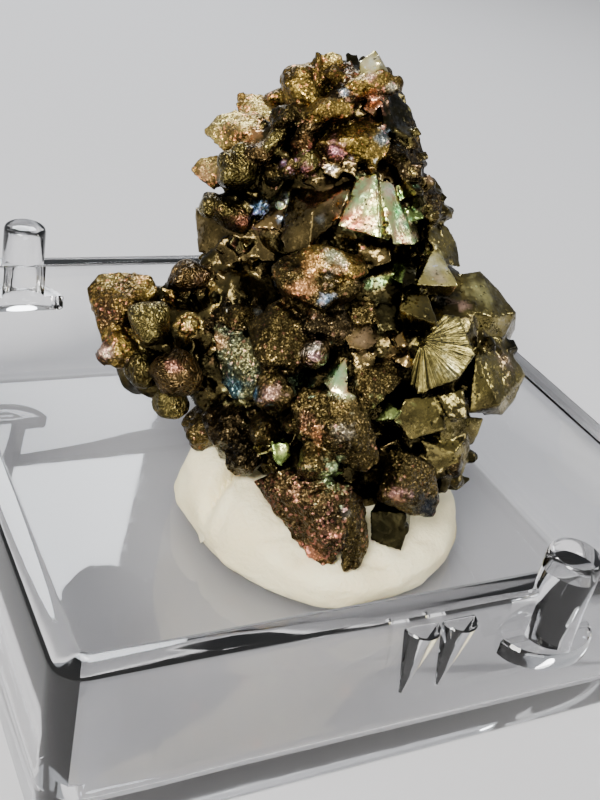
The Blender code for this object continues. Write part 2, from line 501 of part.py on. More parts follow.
def putty_point(way):
    """Where a unit direction meets the putty's skin, in millimetres from its centre."""
    angle = math.atan2(way.y, way.x)
    flat = math.hypot(way.x, way.y)
    reach = around(TACK_RADII, angle) * flat ** TACK_FULLNESS
    rim = min(1.0, flat * 1.4)
    crown = (around(TACK_HEIGHTS, angle) - TACK_BELLY) * rim + TACK_MIDDLE * (1.0 - rim)
    swell = crown if way.z > 0 else TACK_BELLY * 1.6
    rise = TACK_BELLY + swell * math.copysign(abs(way.z) ** 0.8, way.z)
    x = math.cos(angle) * reach
    y = math.sin(angle) * reach
    if way.z > 0:
        rise -= CREASE_DEPTH * crease_share(x, y)
    return Vector((x, y, max(rise, GAP)))


def make_tack(parts):
    """The putty: a squashed lump with a flat underside, cut back round the crystals."""
    bm = bmesh.new()
    bmesh.ops.create_icosphere(bm, subdivisions=4, radius=1.0)
    base = Vector((TACK_CENTRE[0], TACK_CENTRE[1], TRAY_FLOOR))
    for vert in bm.verts:
        dent = 1.0 + 0.025 * noise.noise(vert.co * 2.3)
        place = putty_point(vert.co.normalized())
        vert.co = (base + Vector((place.x * dent, place.y * dent, place.z))) * MM
    obj = new_object("mineral_tack", bm, parts)
    grown = new_collection("putty cutters")
    group_shapes(grown, grow=GAP)
    boolean(obj, "DIFFERENCE", grown)
    settle(obj, math.radians(1.0))
    obj.data.materials.append(material("cream_putty", (0.80, 0.76, 0.62), 0.85))
    return obj


def box(name, low, high, collection, bevel=0.0, segments=3):
    """A block between two corners in millimetres, with its upright edges rounded."""
    bm = bmesh.new()
    bmesh.ops.create_cube(bm, size=1.0)
    low = Vector(low)
    high = Vector(high)
    for vert in bm.verts:
        vert.co = Vector([(low[i] + high[i]) / 2 + vert.co[i] * (high[i] - low[i]) for i in range(3)]) * MM
    if bevel:
        tall = 0.5 * (high.z - low.z) * MM
        upright = [e for e in bm.edges if abs(e.verts[0].co.z - e.verts[1].co.z) > tall]
        bmesh.ops.bevel(bm, geom=upright, offset=bevel * MM, segments=segments, affect="EDGES",
                        profile=0.5)
    return new_object(name, bm, collection)


def round_post(name, x, y, bottom, top, radius_low, radius_high, collection, stretch=(1.0, 1.0)):
    """An upright cylinder or cone between two heights in millimetres."""
    bm = bmesh.new()
    bmesh.ops.create_cone(bm, cap_ends=True, segments=28, radius1=radius_low * MM,
                          radius2=radius_high * MM, depth=(top - bottom) * MM)
    for vert in bm.verts:
        vert.co.x = vert.co.x * stretch[0] + x * MM
        vert.co.y = vert.co.y * stretch[1] + y * MM
        vert.co.z += (top + bottom) / 2 * MM
    return new_object(name, bm, collection)


def make_box_base(parts):
    """The clear tray: floor, wall, two stop posts on shelves and two tapered ribs."""
    half = TRAY_WIDTH / 2
    inner = half - TRAY_WALL
    obj = box("box_base", (-half, -half, 0.0), (half, half, TRAY_RIM), parts, bevel=TRAY_CORNER)
    cavity = new_collection("tray cutters")
    as_cutter(box("cavity", (-inner, -inner, TRAY_FLOOR), (inner, inner, TRAY_RIM + 3.0), cavity,
                  bevel=TRAY_CORNER * 0.6))
    fittings = new_collection("tray fittings")
    for side, x in ((-1, FRONT_POST_X), (1, BACK_POST_X)):
        y = side * half
        names = "front" if side < 0 else "back"
        as_cutter(round_post(names + "_post", x, y, SHELF_BOTTOM + 0.2, POST_TOP, POST_RADIUS,
                             POST_RADIUS * 0.94, fittings))
        as_cutter(round_post(names + "_shelf", x, y - side * 0.3, SHELF_BOTTOM, SHELF_TOP,
                             SHELF_HALF_WIDTH, SHELF_HALF_WIDTH, fittings,
                             stretch=(1.0, (SHELF_DEPTH + 0.3) / SHELF_HALF_WIDTH)))
    for index, x in enumerate(RIB_X):
        as_cutter(round_post("rib_%d" % index, x, -half, TRAY_RIM - 0.5 - RIB_LENGTH, TRAY_RIM - 0.5,
                             0.1, RIB_RADIUS, fittings))
    boolean(obj, "UNION", fittings)
    boolean(obj, "DIFFERENCE", cavity)
    settle(obj, math.radians(0.5))
    obj.data.materials.append(material("clear_plastic", (0.93, 0.93, 0.94), 0.08, transmission=1.0))
    return obj


def main():
    for old in list(bpy.data.objects):
        bpy.data.objects.remove(old)
    parts = new_collection("marcasite_on_box_base")
    make_box_base(parts)
    make_marcasite(parts)
    make_tack(parts)


main()
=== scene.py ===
"""Marcasite crystal group on mineral tack in a clear box base, dressed for rendering.

The group is measured, as in its solid model, in millimetres in an upright picture: across to
the right, up, and toward the viewer. Everything in the scene is in metres, +Z up.
"""

import math
import random

import bmesh
import bpy
import numpy as np
from mathutils import Matrix, Vector, noise
from mathutils.bvhtree import BVHTree
from mathutils.kdtree import KDTree


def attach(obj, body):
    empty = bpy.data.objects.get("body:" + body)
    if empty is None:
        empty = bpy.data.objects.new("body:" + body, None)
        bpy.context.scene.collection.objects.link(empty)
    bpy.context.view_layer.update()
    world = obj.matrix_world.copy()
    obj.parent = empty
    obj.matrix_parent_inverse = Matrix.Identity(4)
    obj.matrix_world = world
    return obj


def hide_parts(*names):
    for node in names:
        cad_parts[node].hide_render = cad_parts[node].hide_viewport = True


bl_info = {
    "name": "Marcasite on Box Base",
    "version": (1, 0, 0),
    "blender": (4, 5, 0),
    "location": "View3D > Sidebar > Specimen",
    "description": "Builds a marcasite crystal group on mineral tack in a clear box base",
    "category": "Object",
}

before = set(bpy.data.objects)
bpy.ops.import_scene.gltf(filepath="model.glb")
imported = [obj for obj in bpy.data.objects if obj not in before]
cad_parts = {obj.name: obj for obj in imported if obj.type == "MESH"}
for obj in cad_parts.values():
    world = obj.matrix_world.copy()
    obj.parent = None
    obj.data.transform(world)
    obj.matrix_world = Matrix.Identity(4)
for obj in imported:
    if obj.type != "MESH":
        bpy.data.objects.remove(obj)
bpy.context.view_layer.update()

MM = 0.001

# Driving dimensions of the box base, in millimetres
TRAY_WIDTH = 32.0
TRAY_FLOOR = 1.2
TRAY_RIM = 8.4
TRAY_WALL = 1.3
TRAY_CORNER = 0.9
POST_RADIUS = 1.2
POST_TOP = 10.3
SHELF_HALF_WIDTH = 2.4
SHELF_DEPTH = 1.5
SHELF_BOTTOM = 5.2
SHELF_TOP = 6.1
FRONT_POST_X = 5.2
BACK_POST_X = -9.4
RIB_RADIUS = 0.8
RIB_LENGTH = 3.6
RIB_X = (-1.6, 0.15)

SHELF_EDGE = 0.12
SHELF_SINK = 0.3
RIB_TIP = 0.1
RIB_DROP = 0.5
SOFT_CORNER = 0.35
LEAST_CORNER = 0.45
CAVITY_BOTTOM = 2.5
CAVITY_HEIGHT = 5.0

# Driving dimensions of the putty, in millimetres; its radii and heights go round it in even steps
TACK_CENTRE = (2.6, -1.7)
TACK_RADII = (7.3, 7.0, 6.6, 6.6, 7.5, 7.9, 7.3, 7.2, 7.4, 6.8, 6.6, 7.0)
TACK_HEIGHTS = (3.4, 3.6, 3.6, 3.8, 4.4, 4.6, 4.2, 3.6, 2.9, 2.5, 2.5, 2.9)
TACK_BELLY = 1.1
TACK_MIDDLE = 2.0
TACK_FULLNESS = 0.55
TACK_CLEARANCE = 0.3
TACK_ROUGH_ABOVE = 0.4

# Creases in the putty: start, end, depth, width
TACK_CREASES = (
    ((-4.7, -2.3), (0.6, 1.9), 0.85, 0.4),
    ((-4.6, -3.4), (-2.6, -1.9), 0.25, 0.3),
    ((7.6, -6.4), (9.4, -4.2), 0.25, 0.45),
    ((-1.5, -6.6), (2.5, -7.6), 0.16, 0.25),
    ((-2.9, -5.2), (-0.9, -5.9), 0.14, 0.22),
    ((3.6, -6.9), (5.4, -6.3), 0.14, 0.3),
)

# The picture that the group is measured in: its viewer stands at EYE and looks down and to
# the right
EYE = Vector((-24.65, -41.0, 35.96))
LOOK_DOWN = math.radians(30.16)
LOOK_RIGHT = math.radians(31.71)
PICTURE_TILT = math.radians(12.37)
PICTURE_DISTANCE = 55.56
GROUP_FORWARD = 0.8
FOOT_LEVEL = 2.4

# Blocky inner mass that every crystal is rooted in: centre, radii
CORE = {
    "foot": ((1.6, -2.5, -2.6), (4.2, 3.4, 4.0)),
    "belly": ((3.3, 3.2, -2.4), (5.5, 5.2, 4.7)),
    "shoulder": ((1.9, 10.2, -0.3), (4.1, 4.4, 2.9)),
    "peak": ((2.6, 14.1, 0.9), (2.4, 2.5, 1.7)),
    "left_arm": ((-6.9, 3.0, -0.3), (2.8, 2.7, 1.7)),
    "arm_root": ((-3.4, 3.6, -0.8), (2.7, 4.3, 2.2)),
    "right_side": ((8.2, 2.0, -2.2), (2.2, 3.2, 2.1)),
    "lower_left": ((-2.1, -0.9, -1.3), (2.6, 2.6, 2.2)),
    "lower_right": ((6.0, -2.4, -1.6), (2.4, 2.4, 2.4)),
    "waist_left": ((-1.9, 9.3, -0.5), (2.1, 2.7, 1.5)),
    "waist_right": ((5.9, 8.6, -0.5), (1.3, 2.8, 1.4)),
    "top_left": ((-1.2, 12.0, 0.3), (1.7, 2.1, 1.3)),
}

# Flat-faced crystals: how far each is rooted back, then its corners (across, up, toward)
CRYSTALS = {
    "top_peak": (1.5, [(3.75, 17.55, 3.0), (2.95, 16.9, 3.2), (3.0, 16.0, 3.4), (3.8, 15.95, 3.7),
                       (4.4, 16.45, 2.4), (4.0, 17.0, 3.3), (4.45, 15.8, 2.6)]),
    "peak_back": (1.2, [(2.3, 17.35, 1.6), (2.9, 17.3, 1.6), (3.0, 16.2, 2.2), (2.3, 16.2, 2.2)]),
    "peak_left": (1.2, [(2.0, 16.9, 2.2), (2.5, 16.95, 2.2), (3.1, 16.3, 2.8), (2.5, 16.0, 3.0),
                        (1.9, 16.2, 2.6)]),
    "pink_plate": (1.5, [(3.1, 14.6, 3.2), (3.5, 15.2, 3.0), (4.05, 15.15, 3.1), (4.1, 14.85, 3.3),
                         (3.65, 14.2, 3.6)]),
    "dark_shoulder": (2.0, [(4.0, 15.1, 2.9), (5.0, 15.25, 1.7), (5.55, 14.5, 1.3), (5.9, 13.2, 1.4),
                            (5.2, 12.9, 2.6), (4.2, 13.7, 3.2)]),
    "gold_table": (1.8, [(0.8, 12.85, 3.2), (1.5, 13.5, 2.4), (3.55, 14.25, 2.6), (4.1, 13.55, 3.1),
                         (4.5, 13.05, 3.2), (3.25, 13.1, 3.8), (1.75, 12.85, 3.6), (3.9, 11.6, 2.9),
                         (3.1, 11.9, 2.7), (0.9, 12.4, 2.6)]),
    "brown_slab": (1.2, [(2.0, 12.5, 2.6), (2.9, 12.2, 2.8), (2.8, 11.1, 3.0), (1.9, 11.6, 2.8)]),
    "grey_chip": (0.8, [(1.0, 12.0, 2.7), (1.75, 11.9, 2.8), (2.3, 11.5, 2.9), (1.9, 11.0, 2.9),
                        (1.1, 11.3, 2.9)]),
    "back_block": (2.6, [(-3.2, 15.3, -2.2), (-1.9, 15.35, -2.4), (-1.4, 14.75, -1.6),
                         (-1.4, 13.6, -0.8), (-3.1, 13.8, -1.0)]),
    "bright_block": (2.5, [(-4.85, 13.45, -0.5), (-4.25, 14.25, -0.8), (-3.25, 14.5, -0.6),
                           (-1.9, 14.35, 0.2), (-1.5, 13.6, 0.7), (-1.9, 12.7, 1.2),
                           (-3.95, 12.55, 0.3), (-2.8, 13.5, 1.2)]),
    "left_spike": (2.0, [(-5.5, 11.55, -0.2), (-5.15, 12.0, -0.3), (-4.2, 12.3, 0.1), (-4.0, 11.3, 0.9),
                         (-4.35, 10.5, 0.3), (-5.0, 10.9, 0.1)]),
    "dark_block": (2.5, [(-5.25, 9.6, -1.0), (-4.6, 8.9, 0.0), (-5.1, 7.4, -0.6), (-3.75, 6.9, 0.5),
                         (-1.2, 6.9, 0.9), (-1.2, 8.3, 1.1), (-3.25, 8.6, 0.9)]),
    "blue_chip": (1.0, [(-2.5, 9.5, 1.2), (-1.95, 10.2, 1.1), (-1.85, 9.5, 1.3), (-2.2, 9.2, 1.4)]),
    "white_chip": (1.0, [(-1.2, 10.0, 1.8), (-0.6, 10.3, 1.6), (-0.8, 9.75, 2.0), (-1.1, 9.6, 1.9)]),
    "cream_pitted": (1.5, [(-2.4, 8.6, 1.8), (-1.5, 9.6, 1.5), (-0.8, 9.55, 1.8), (-0.9, 8.5, 2.2)]),
    "saddle": (2.0, [(-0.5, 10.45, 2.0), (1.0, 10.7, 2.2), (2.65, 11.0, 2.4), (2.7, 10.6, 2.8),
                     (1.75, 8.9, 3.2), (0.45, 7.6, 3.4), (-0.65, 7.25, 3.0), (-1.0, 8.1, 2.7),
                     (0.6, 9.4, 3.9)]),
    "saddle_ledge": (1.4, [(0.1, 10.9, 2.3), (1.2, 11.4, 2.3), (2.5, 11.2, 2.5), (1.2, 10.5, 2.7)]),
    "rainbow_left": (2.4, [(2.85, 11.2, 3.0), (3.8, 11.35, 3.5), (4.0, 8.1, 4.1), (1.9, 8.7, 3.5),
                           (2.7, 10.5, 3.1), (4.1, 11.2, 2.6), (4.5, 7.95, 3.2)]),
    "rainbow_right": (2.2, [(4.05, 11.0, 3.1), (4.6, 10.9, 2.9), (5.75, 7.75, 3.0), (4.65, 7.8, 3.8),
                            (5.2, 10.5, 1.6), (6.0, 8.0, 2.0)]),
    "rainbow_cap": (1.4, [(2.8, 11.6, 2.5), (3.6, 11.85, 2.6), (4.5, 11.6, 2.4), (4.8, 10.9, 2.6),
                          (3.6, 11.3, 3.2)]),
    "right_column_top": (1.8, [(5.0, 13.5, 2.5), (5.65, 14.0, 1.4), (5.95, 13.2, 1.2),
                               (6.4, 11.75, 1.2), (6.0, 11.0, 2.2), (5.0, 11.2, 2.8),
                               (4.6, 12.5, 3.0)]),
    "right_column_mid": (1.8, [(6.0, 11.5, 1.7), (6.8, 11.1, 1.0), (6.7, 9.3, 1.0), (5.9, 9.3, 2.3),
                               (5.5, 10.6, 2.6)]),
    "yellow_chip": (1.0, [(5.2, 14.45, 1.8), (5.5, 14.65, 1.5), (5.6, 14.4, 1.5), (5.25, 13.9, 2.0)]),
    "green_chip": (1.2, [(5.4, 9.6, 2.5), (6.0, 9.6, 2.2), (6.25, 9.1, 2.3), (5.6, 8.95, 2.7)]),
    "right_neck": (2.0, [(6.4, 8.9, 1.2), (7.35, 8.75, 0.3), (7.9, 7.75, 0.1), (8.05, 6.6, 0.4),
                         (7.25, 6.8, 1.5), (6.4, 8.0, 1.9)]),
    "yellow_table": (1.5, [(6.45, 7.2, 1.9), (6.95, 7.25, 1.7), (7.95, 5.7, 2.2), (5.85, 5.75, 2.9),
                           (6.75, 7.75, 1.3), (7.5, 5.2, 0.9), (6.2, 5.2, 1.4)]),
    "green_sliver": (1.0, [(4.55, 6.05, 2.6), (5.1, 6.8, 2.1), (5.25, 6.6, 2.3), (5.0, 5.8, 2.9)]),
    "dark_wedge_mid": (1.5, [(5.2, 6.75, 2.1), (5.9, 6.7, 2.1), (5.75, 5.7, 2.8), (5.1, 5.6, 2.9)]),
    "under_rainbow": (1.6, [(2.9, 7.9, 2.8), (4.4, 7.7, 2.9), (4.6, 6.9, 3.0), (3.4, 6.5, 3.1),
                            (2.8, 7.1, 3.0)]),
    "stepped": (2.0, [(4.9, 4.6, 3.2), (5.3, 5.35, 2.8), (6.4, 5.25, 2.7), (6.85, 3.8, 3.2),
                      (5.75, 4.2, 3.7), (6.8, 3.4, 2.7), (5.2, 3.5, 2.7)]),
    "large_right": (3.0, [(8.05, 6.35, -0.6), (9.0, 6.5, -1.5), (10.0, 5.5, -1.7),
                          (10.85, 4.35, -1.4), (8.3, 4.45, 0.9), (9.7, 4.15, 0.1),
                          (10.3, 3.25, -1.5), (9.3, 3.0, -0.8), (8.3, 3.8, 0.3)]),
    "fan": (2.5, [(6.45, 3.3, 3.3), (7.25, 4.35, 2.4), (8.0, 4.2, 1.8), (8.8, 2.25, 2.1),
                  (7.95, 1.05, 3.0), (5.9, 0.25, 3.2), (5.4, 0.85, 3.0), (5.75, 2.5, 3.4),
                  (6.25, 2.7, 3.8)]),
    "tan_chip": (2.4, [(4.65, 3.1, 3.5), (5.1, 3.45, 3.2), (5.45, 2.75, 3.5), (5.0, 2.45, 3.7)]),
    "tan_chip_low": (2.4, [(4.65, 2.0, 3.4), (5.5, 2.4, 3.4), (5.65, 1.65, 3.5), (5.3, 1.55, 3.6)]),
    "right_low": (3.0, [(9.0, 2.95, -0.5), (10.25, 3.05, -1.8), (11.3, 1.3, -2.0),
                        (10.75, -0.05, -1.6), (10.1, -0.8, -1.1), (8.5, -0.6, 0.6), (8.75, 2.1, 1.2),
                        (9.9, -0.3, 0.3)]),
    "bright_end": (1.6, [(6.85, 0.25, 2.8), (8.2, 0.6, 1.7), (8.35, -0.9, 2.0), (7.5, -1.0, 2.6)]),
    "green_wedge": (2.6, [(3.7, -1.05, 3.3), (4.4, -0.1, 3.0), (4.95, -0.55, 3.2), (4.6, -0.95, 3.5)]),
    "grain_block": (1.8, [(2.6, 1.5, 3.2), (3.6, 1.65, 3.5), (4.95, 1.75, 3.1), (5.0, 0.85, 3.3),
                          (3.55, -0.6, 3.7), (3.4, 0.3, 3.9), (2.7, 0.3, 3.5)]),
    "dark_mid_right": (2.0, [(5.25, 0.1, 2.8), (7.0, 0.3, 2.4), (7.3, -1.5, 2.0), (5.5, -2.0, 2.4),
                             (4.7, -1.0, 3.0)]),
    "left_plate": (1.8, [(-4.3, 3.6, 1.8), (-3.55, 4.1, 1.5), (-2.5, 3.0, 2.5), (-1.8, 1.7, 3.0),
                         (-2.0, 1.05, 3.1), (-2.25, 0.1, 2.6), (-3.3, -0.05, 2.1), (-3.85, 0.7, 1.8),
                         (-4.2, 2.2, 2.1)]),
    "green_pitted": (1.5, [(2.35, 2.25, 3.1), (1.05, 1.05, 3.3), (2.4, 0.15, 3.9), (1.5, 0.4, 3.8)]),
    "tan_block": (1.5, [(2.25, 3.0, 3.3), (2.75, 3.7, 2.9), (3.5, 3.75, 2.8), (3.95, 2.85, 3.3),
                        (3.3, 2.45, 3.6), (2.45, 2.6, 3.6)]),
    "brown_block": (1.5, [(2.5, 5.0, 2.6), (3.7, 5.0, 2.6), (3.95, 3.8, 2.7), (2.6, 3.6, 2.8)]),
    "low_block": (1.3, [(2.55, 2.4, 3.1), (3.9, 2.45, 3.1), (3.75, 1.6, 3.3), (2.7, 1.6, 3.3)]),
    "mid_dark": (1.6, [(3.9, 4.9, 2.4), (4.9, 4.8, 2.4), (4.8, 3.5, 2.9), (3.9, 3.4, 2.9)]),
    "centre_block": (2.5, [(-0.45, -0.15, 3.2), (0.0, 0.75, 3.0), (1.75, 0.25, 3.8), (2.5, 0.35, 3.7),
                           (3.45, -0.25, 3.5), (4.05, -3.05, 3.2), (3.25, -3.6, 3.0),
                           (1.35, -2.9, 3.3), (0.0, -1.5, 3.5), (-0.2, -2.0, 3.1),
                           (2.25, -1.7, 4.4)]),
    "low_sliver": (2.4, [(-2.15, -2.75, 2.4), (-1.5, -2.4, 2.6), (-1.6, -2.7, 2.7)]),
    "yellow_prism": (2.6, [(-1.4, -2.15, 2.6), (-0.5, -2.15, 2.5), (-0.4, -2.75, 2.5),
                           (-0.95, -3.4, 2.7), (-1.3, -3.0, 2.7)]),
    "green_low": (1.0, [(1.0, -3.95, 2.7), (1.65, -3.45, 2.6), (2.25, -3.6, 2.4), (1.3, -4.1, 2.6)]),
    "green_low_left": (1.2, [(-0.6, -3.5, 2.2), (0.25, -3.4, 2.4), (0.9, -4.15, 2.7),
                             (0.0, -4.3, 2.6)]),
    "arm_block": (2.0, [(-10.75, 5.6, 0.7), (-10.1, 6.35, 0.3), (-8.6, 6.45, 0.4), (-7.35, 6.25, 0.8),
                        (-7.1, 5.45, 1.2), (-7.5, 5.0, 1.6), (-9.9, 2.8, 1.0), (-10.25, 4.5, 1.2),
                        (-8.5, 5.0, 2.0)]),
    "arm_chip": (1.0, [(-6.85, 5.6, 1.2), (-6.4, 5.5, 1.2), (-6.3, 5.1, 1.4)]),
    "arm_chip_low": (1.2, [(-4.4, 5.85, 0.8), (-3.95, 5.9, 0.8), (-4.05, 4.75, 1.1),
                           (-4.35, 4.7, 1.2)]),
    "front_wedge": (2.6, [(-2.4, -4.0, 2.2), (-0.75, -3.45, 2.5), (2.5, -4.3, 3.4), (2.15, -7.5, 3.3),
                          (1.6, -8.2, 2.9), (0.95, -8.35, 2.6), (0.3, -7.6, 2.4), (-1.9, -4.8, 2.2),
                          (0.6, -5.5, 3.8)]),
    "front_wedge_right": (2.4, [(2.5, -4.4, 3.3), (3.1, -4.8, 2.5), (3.45, -7.3, 2.2),
                                (3.0, -8.5, 2.6), (2.2, -8.6, 2.9), (2.1, -7.6, 3.2)]),
    "front_right_block": (2.5, [(4.45, -2.45, 2.4), (5.5, -2.65, 2.6), (6.75, -3.3, 1.9),
                                (7.05, -5.15, 1.2), (6.65, -5.85, 1.0), (5.7, -5.9, 1.4),
                                (3.85, -5.0, 2.1), (4.9, -4.0, 3.3), (5.4, -5.1, 2.8)]),
    "right_foot": (2.0, [(6.0, -2.0, 1.5), (8.35, -1.75, 0.2), (8.55, -2.35, 0.0), (8.15, -3.7, -0.2),
                         (7.25, -4.0, 0.3), (6.5, -3.5, 1.1), (7.75, -2.6, 1.3)]),
    "right_foot_top": (2.0, [(7.0, -0.7, 1.6), (9.2, -0.9, -0.5), (8.7, -2.25, -0.5),
                             (7.0, -2.0, 1.3)]),
    "dark_wedge_low": (4.0, [(3.5, -5.6, 1.4), (5.25, -5.6, 1.0), (5.4, -6.5, 0.7), (5.05, -7.6, 0.7),
                             (3.5, -7.05, 1.1)]),
}

# Rounded crystals and nodules: centre, radii (across, up, toward), turn in degrees
NODULES = {
    "prong_left": ((0.95, 16.3, 2.3), (0.3, 0.85, 0.4), 4),
    "prong_right": ((1.65, 16.95, 2.3), (0.4, 0.42, 0.4), 0),
    "prong_foot": ((1.7, 16.2, 2.5), (0.5, 0.5, 0.5), 0),
    "top_mound": ((0.15, 15.6, 1.9), (1.15, 1.0, 1.0), -30),
    "back_bump": ((-0.95, 15.0, 0.7), (0.75, 0.5, 1.0), 0),
    "top_gold": ((3.7, 15.7, 2.9), (1.2, 0.6, 0.8), 6),
    "top_dark": ((2.2, 15.2, 2.8), (0.7, 0.6, 0.6), 20),
    "ridge_a": ((-0.45, 14.15, 2.3), (1.05, 0.55, 0.8), 12),
    "ridge_b": ((1.4, 14.4, 2.8), (1.15, 0.65, 0.8), 10),
    "ridge_c": ((0.6, 13.6, 2.6), (0.95, 0.42, 0.7), 22),
    "ridge_d": ((0.2, 12.75, 2.3), (0.62, 0.45, 0.9), 10),
    "ridge_e": ((0.45, 11.9, 2.7), (0.65, 0.65, 0.6), 0),
    "ridge_f": ((-0.4, 11.65, 2.2), (0.75, 0.5, 0.6), 15),
    "ridge_g": ((-1.3, 11.2, 1.4), (0.5, 0.45, 0.9), 0),
    "pink_knot": ((1.75, 12.4, 2.9), (0.45, 0.42, 0.4), 0),
    "ball_horn": ((-1.2, 13.0, 2.0), (1.0, 0.5, 0.7), 52),
    "ball_horn_low": ((-1.9, 12.35, 1.7), (0.9, 0.6, 0.8), 25),
    "ball_upper": ((-3.15, 11.5, 1.3), (1.12, 1.12, 1.1), 0),
    "ball_cap": ((-2.8, 12.3, 1.2), (0.9, 0.6, 0.8), 20),
    "ball_lens": ((-3.6, 9.35, 1.1), (1.45, 0.75, 0.9), -25),
    "ball_lens_end": ((-4.35, 9.7, 1.0), (0.75, 0.75, 0.8), 0),
    "double_upper": ((1.5, 6.75, 3.5), (1.5, 0.85, 0.9), -10),
    "double_lower": ((0.35, 5.85, 3.3), (1.65, 1.15, 1.0), -22),
    "double_right": ((1.95, 5.45, 3.3), (1.1, 0.6, 0.7), 12),
    "big_lump": ((-1.05, 2.9, 2.8), (1.42, 1.62, 1.2), 0),
    "plate_back": ((-2.9, 4.0, 1.6), (0.95, 0.7, 0.8), 10),
    "small_ball": ((0.75, 2.3, 3.5), (0.78, 0.78, 0.7), 0),
    "dark_lump_a": ((0.7, 3.8, 3.0), (0.9, 0.8, 0.7), 0),
    "dark_lump_b": ((1.85, 3.6, 2.8), (0.8, 0.95, 0.7), 0),
    "low_left_ball": ((-1.35, 0.4, 3.3), (0.98, 0.85, 0.8), 5),
    "centre_knob": ((0.9, -3.1, 3.0), (0.9, 0.85, 0.8), 0),
    "low_lump_a": ((-1.8, -1.45, 1.6), (0.62, 0.78, 1.6), 0),
    "low_lump_b": ((-0.35, -1.2, 2.8), (0.5, 0.45, 0.5), 0),
    "arm_ball": ((-7.5, 3.9, 2.2), (1.15, 1.15, 1.05), 0),
    "arm_knob": ((-9.6, 2.4, 1.2), (0.5, 0.6, 0.5), -30),
    "arm_knob_root": ((-8.95, 2.5, 1.2), (0.75, 0.85, 0.7), 0),
    "arm_fold": ((-6.25, 1.35, 2.0), (1.25, 1.25, 1.05), 0),
    "arm_under": ((-7.95, 1.5, 1.3), (0.9, 1.0, 0.8), 25),
    "arm_tip": ((-6.5, -0.1, 1.2), (0.95, 1.05, 0.8), 25),
    "arm_shoulder": ((-5.55, 6.2, 0.4), (1.12, 0.88, 0.95), 0),
    "arm_bead": ((-5.55, 3.75, 1.4), (0.45, 0.4, 0.4), 0),
    "brown_lump": ((-4.9, -1.35, -1.3), (0.9, 1.05, 0.9), 10),
    "low_dark_a": ((-3.5, -1.4, 0.4), (1.25, 1.15, 1.1), 0),
    "low_dark_b": ((-2.85, -2.7, 0.7), (0.95, 0.9, 0.9), 0),
}

# Core lumps that carry no chance growth on their hidden side, because they are slender
SLENDER_CORES = ("left_arm", "arm_root", "lower_left", "waist_left", "waist_right", "top_left")

# Turn from one direction to the next that spreads directions evenly, in radians
GOLDEN_ANGLE = 2.39996

# Corners of a four-sided crystal, as seen along it
SQUARE = ((-1, -1), (1, -1), (1, 1), (-1, 1))

# Chance growth: a crystal is on the hidden side where the toward part of its direction is at
# most HIDDEN_BELOW. It is rooted at a share of the core's radius. The rows give how many
# crystals, their size in millimetres, and whether they are on the hidden side
GROWTH_SEED = 41
HIDDEN_BELOW = -0.15
HIDDEN_SUNK = 0.86
FRONT_SUNK = 0.96
GROWTHS = (
    (48, (0.75, 1.45), True),
    (20, (0.35, 0.65), False),
    (150, (0.35, 0.9), True),
    (230, (0.3, 0.7), False),
)

# Longest mesh edge, in millimetres, on named crystals, on pitted and fan faces and on blocks
FINE_EDGE = 0.17
PITTED_EDGE = 0.085
COARSE_EDGE = 0.42

# How far, in millimetres, edges are worn back on grainy crystals and on smooth ones, and the
# least distance between two corners of a solid
GRAINY_WEAR = 0.1
SMOOTH_WEAR = 0.04
LEAST_GAP = 0.015

# Grain, in millimetres, that the group's skin is wrapped at, and how many triangles it keeps
SKIN_GRAIN = 0.085
GROUP_TRIANGLES = 196000

# Flat planes that pull in a ridged nodule and a grainy lump: how many, how sharply they meet,
# and how near the middle the nearest may lie
ROUND_PLANES = (18, 5.0, 0.94)
BLOCKY_PLANES = (9, 11.0, 0.84)

# Lumps with a radius over this, in millimetres, get a finer mesh
LARGE_LUMP = 1.25

# Small crystals grown on the grainy lumps: how many to a square millimetre, their size range,
# how much larger they are on the front wedge, and how far they tip from the face
DRUSE_SEED = 7
DRUSE_PER_MM2 = 6.0
DRUSE_SIZE = (0.10, 0.2)
WEDGE_DRUSE = 1.5
DRUSE_SCATTER = 0.45

# Blocks that stand on the plainer shapes: size range, how far they tip from the face, how much
# larger they are on the hidden side, and how many to a square millimetre, in front and hidden
STUD_SEED = 23
STUD_SIZE = (0.35, 0.75)
STUD_SCATTER = 0.3
BACK_STUD_SCALE = 1.6
STUDS = {"right_column_top": 1.1, "right_column_mid": 1.1, "dark_shoulder": 0.5, "lower_right": 0.9,
         "right_side": 0.7, "waist_right": 0.9, "waist_left": 0.6, "lower_left": 0.5, "arm_root": 0.4}
BACK_STUDS = {"belly": 0.3, "shoulder": 0.3, "peak": 0.3, "right_side": 0.3, "foot": 0.2}
STUD_FINISHES = ("dark_facet", "gap_facet", "brown_facet", "olive_facet", "dark_grain")

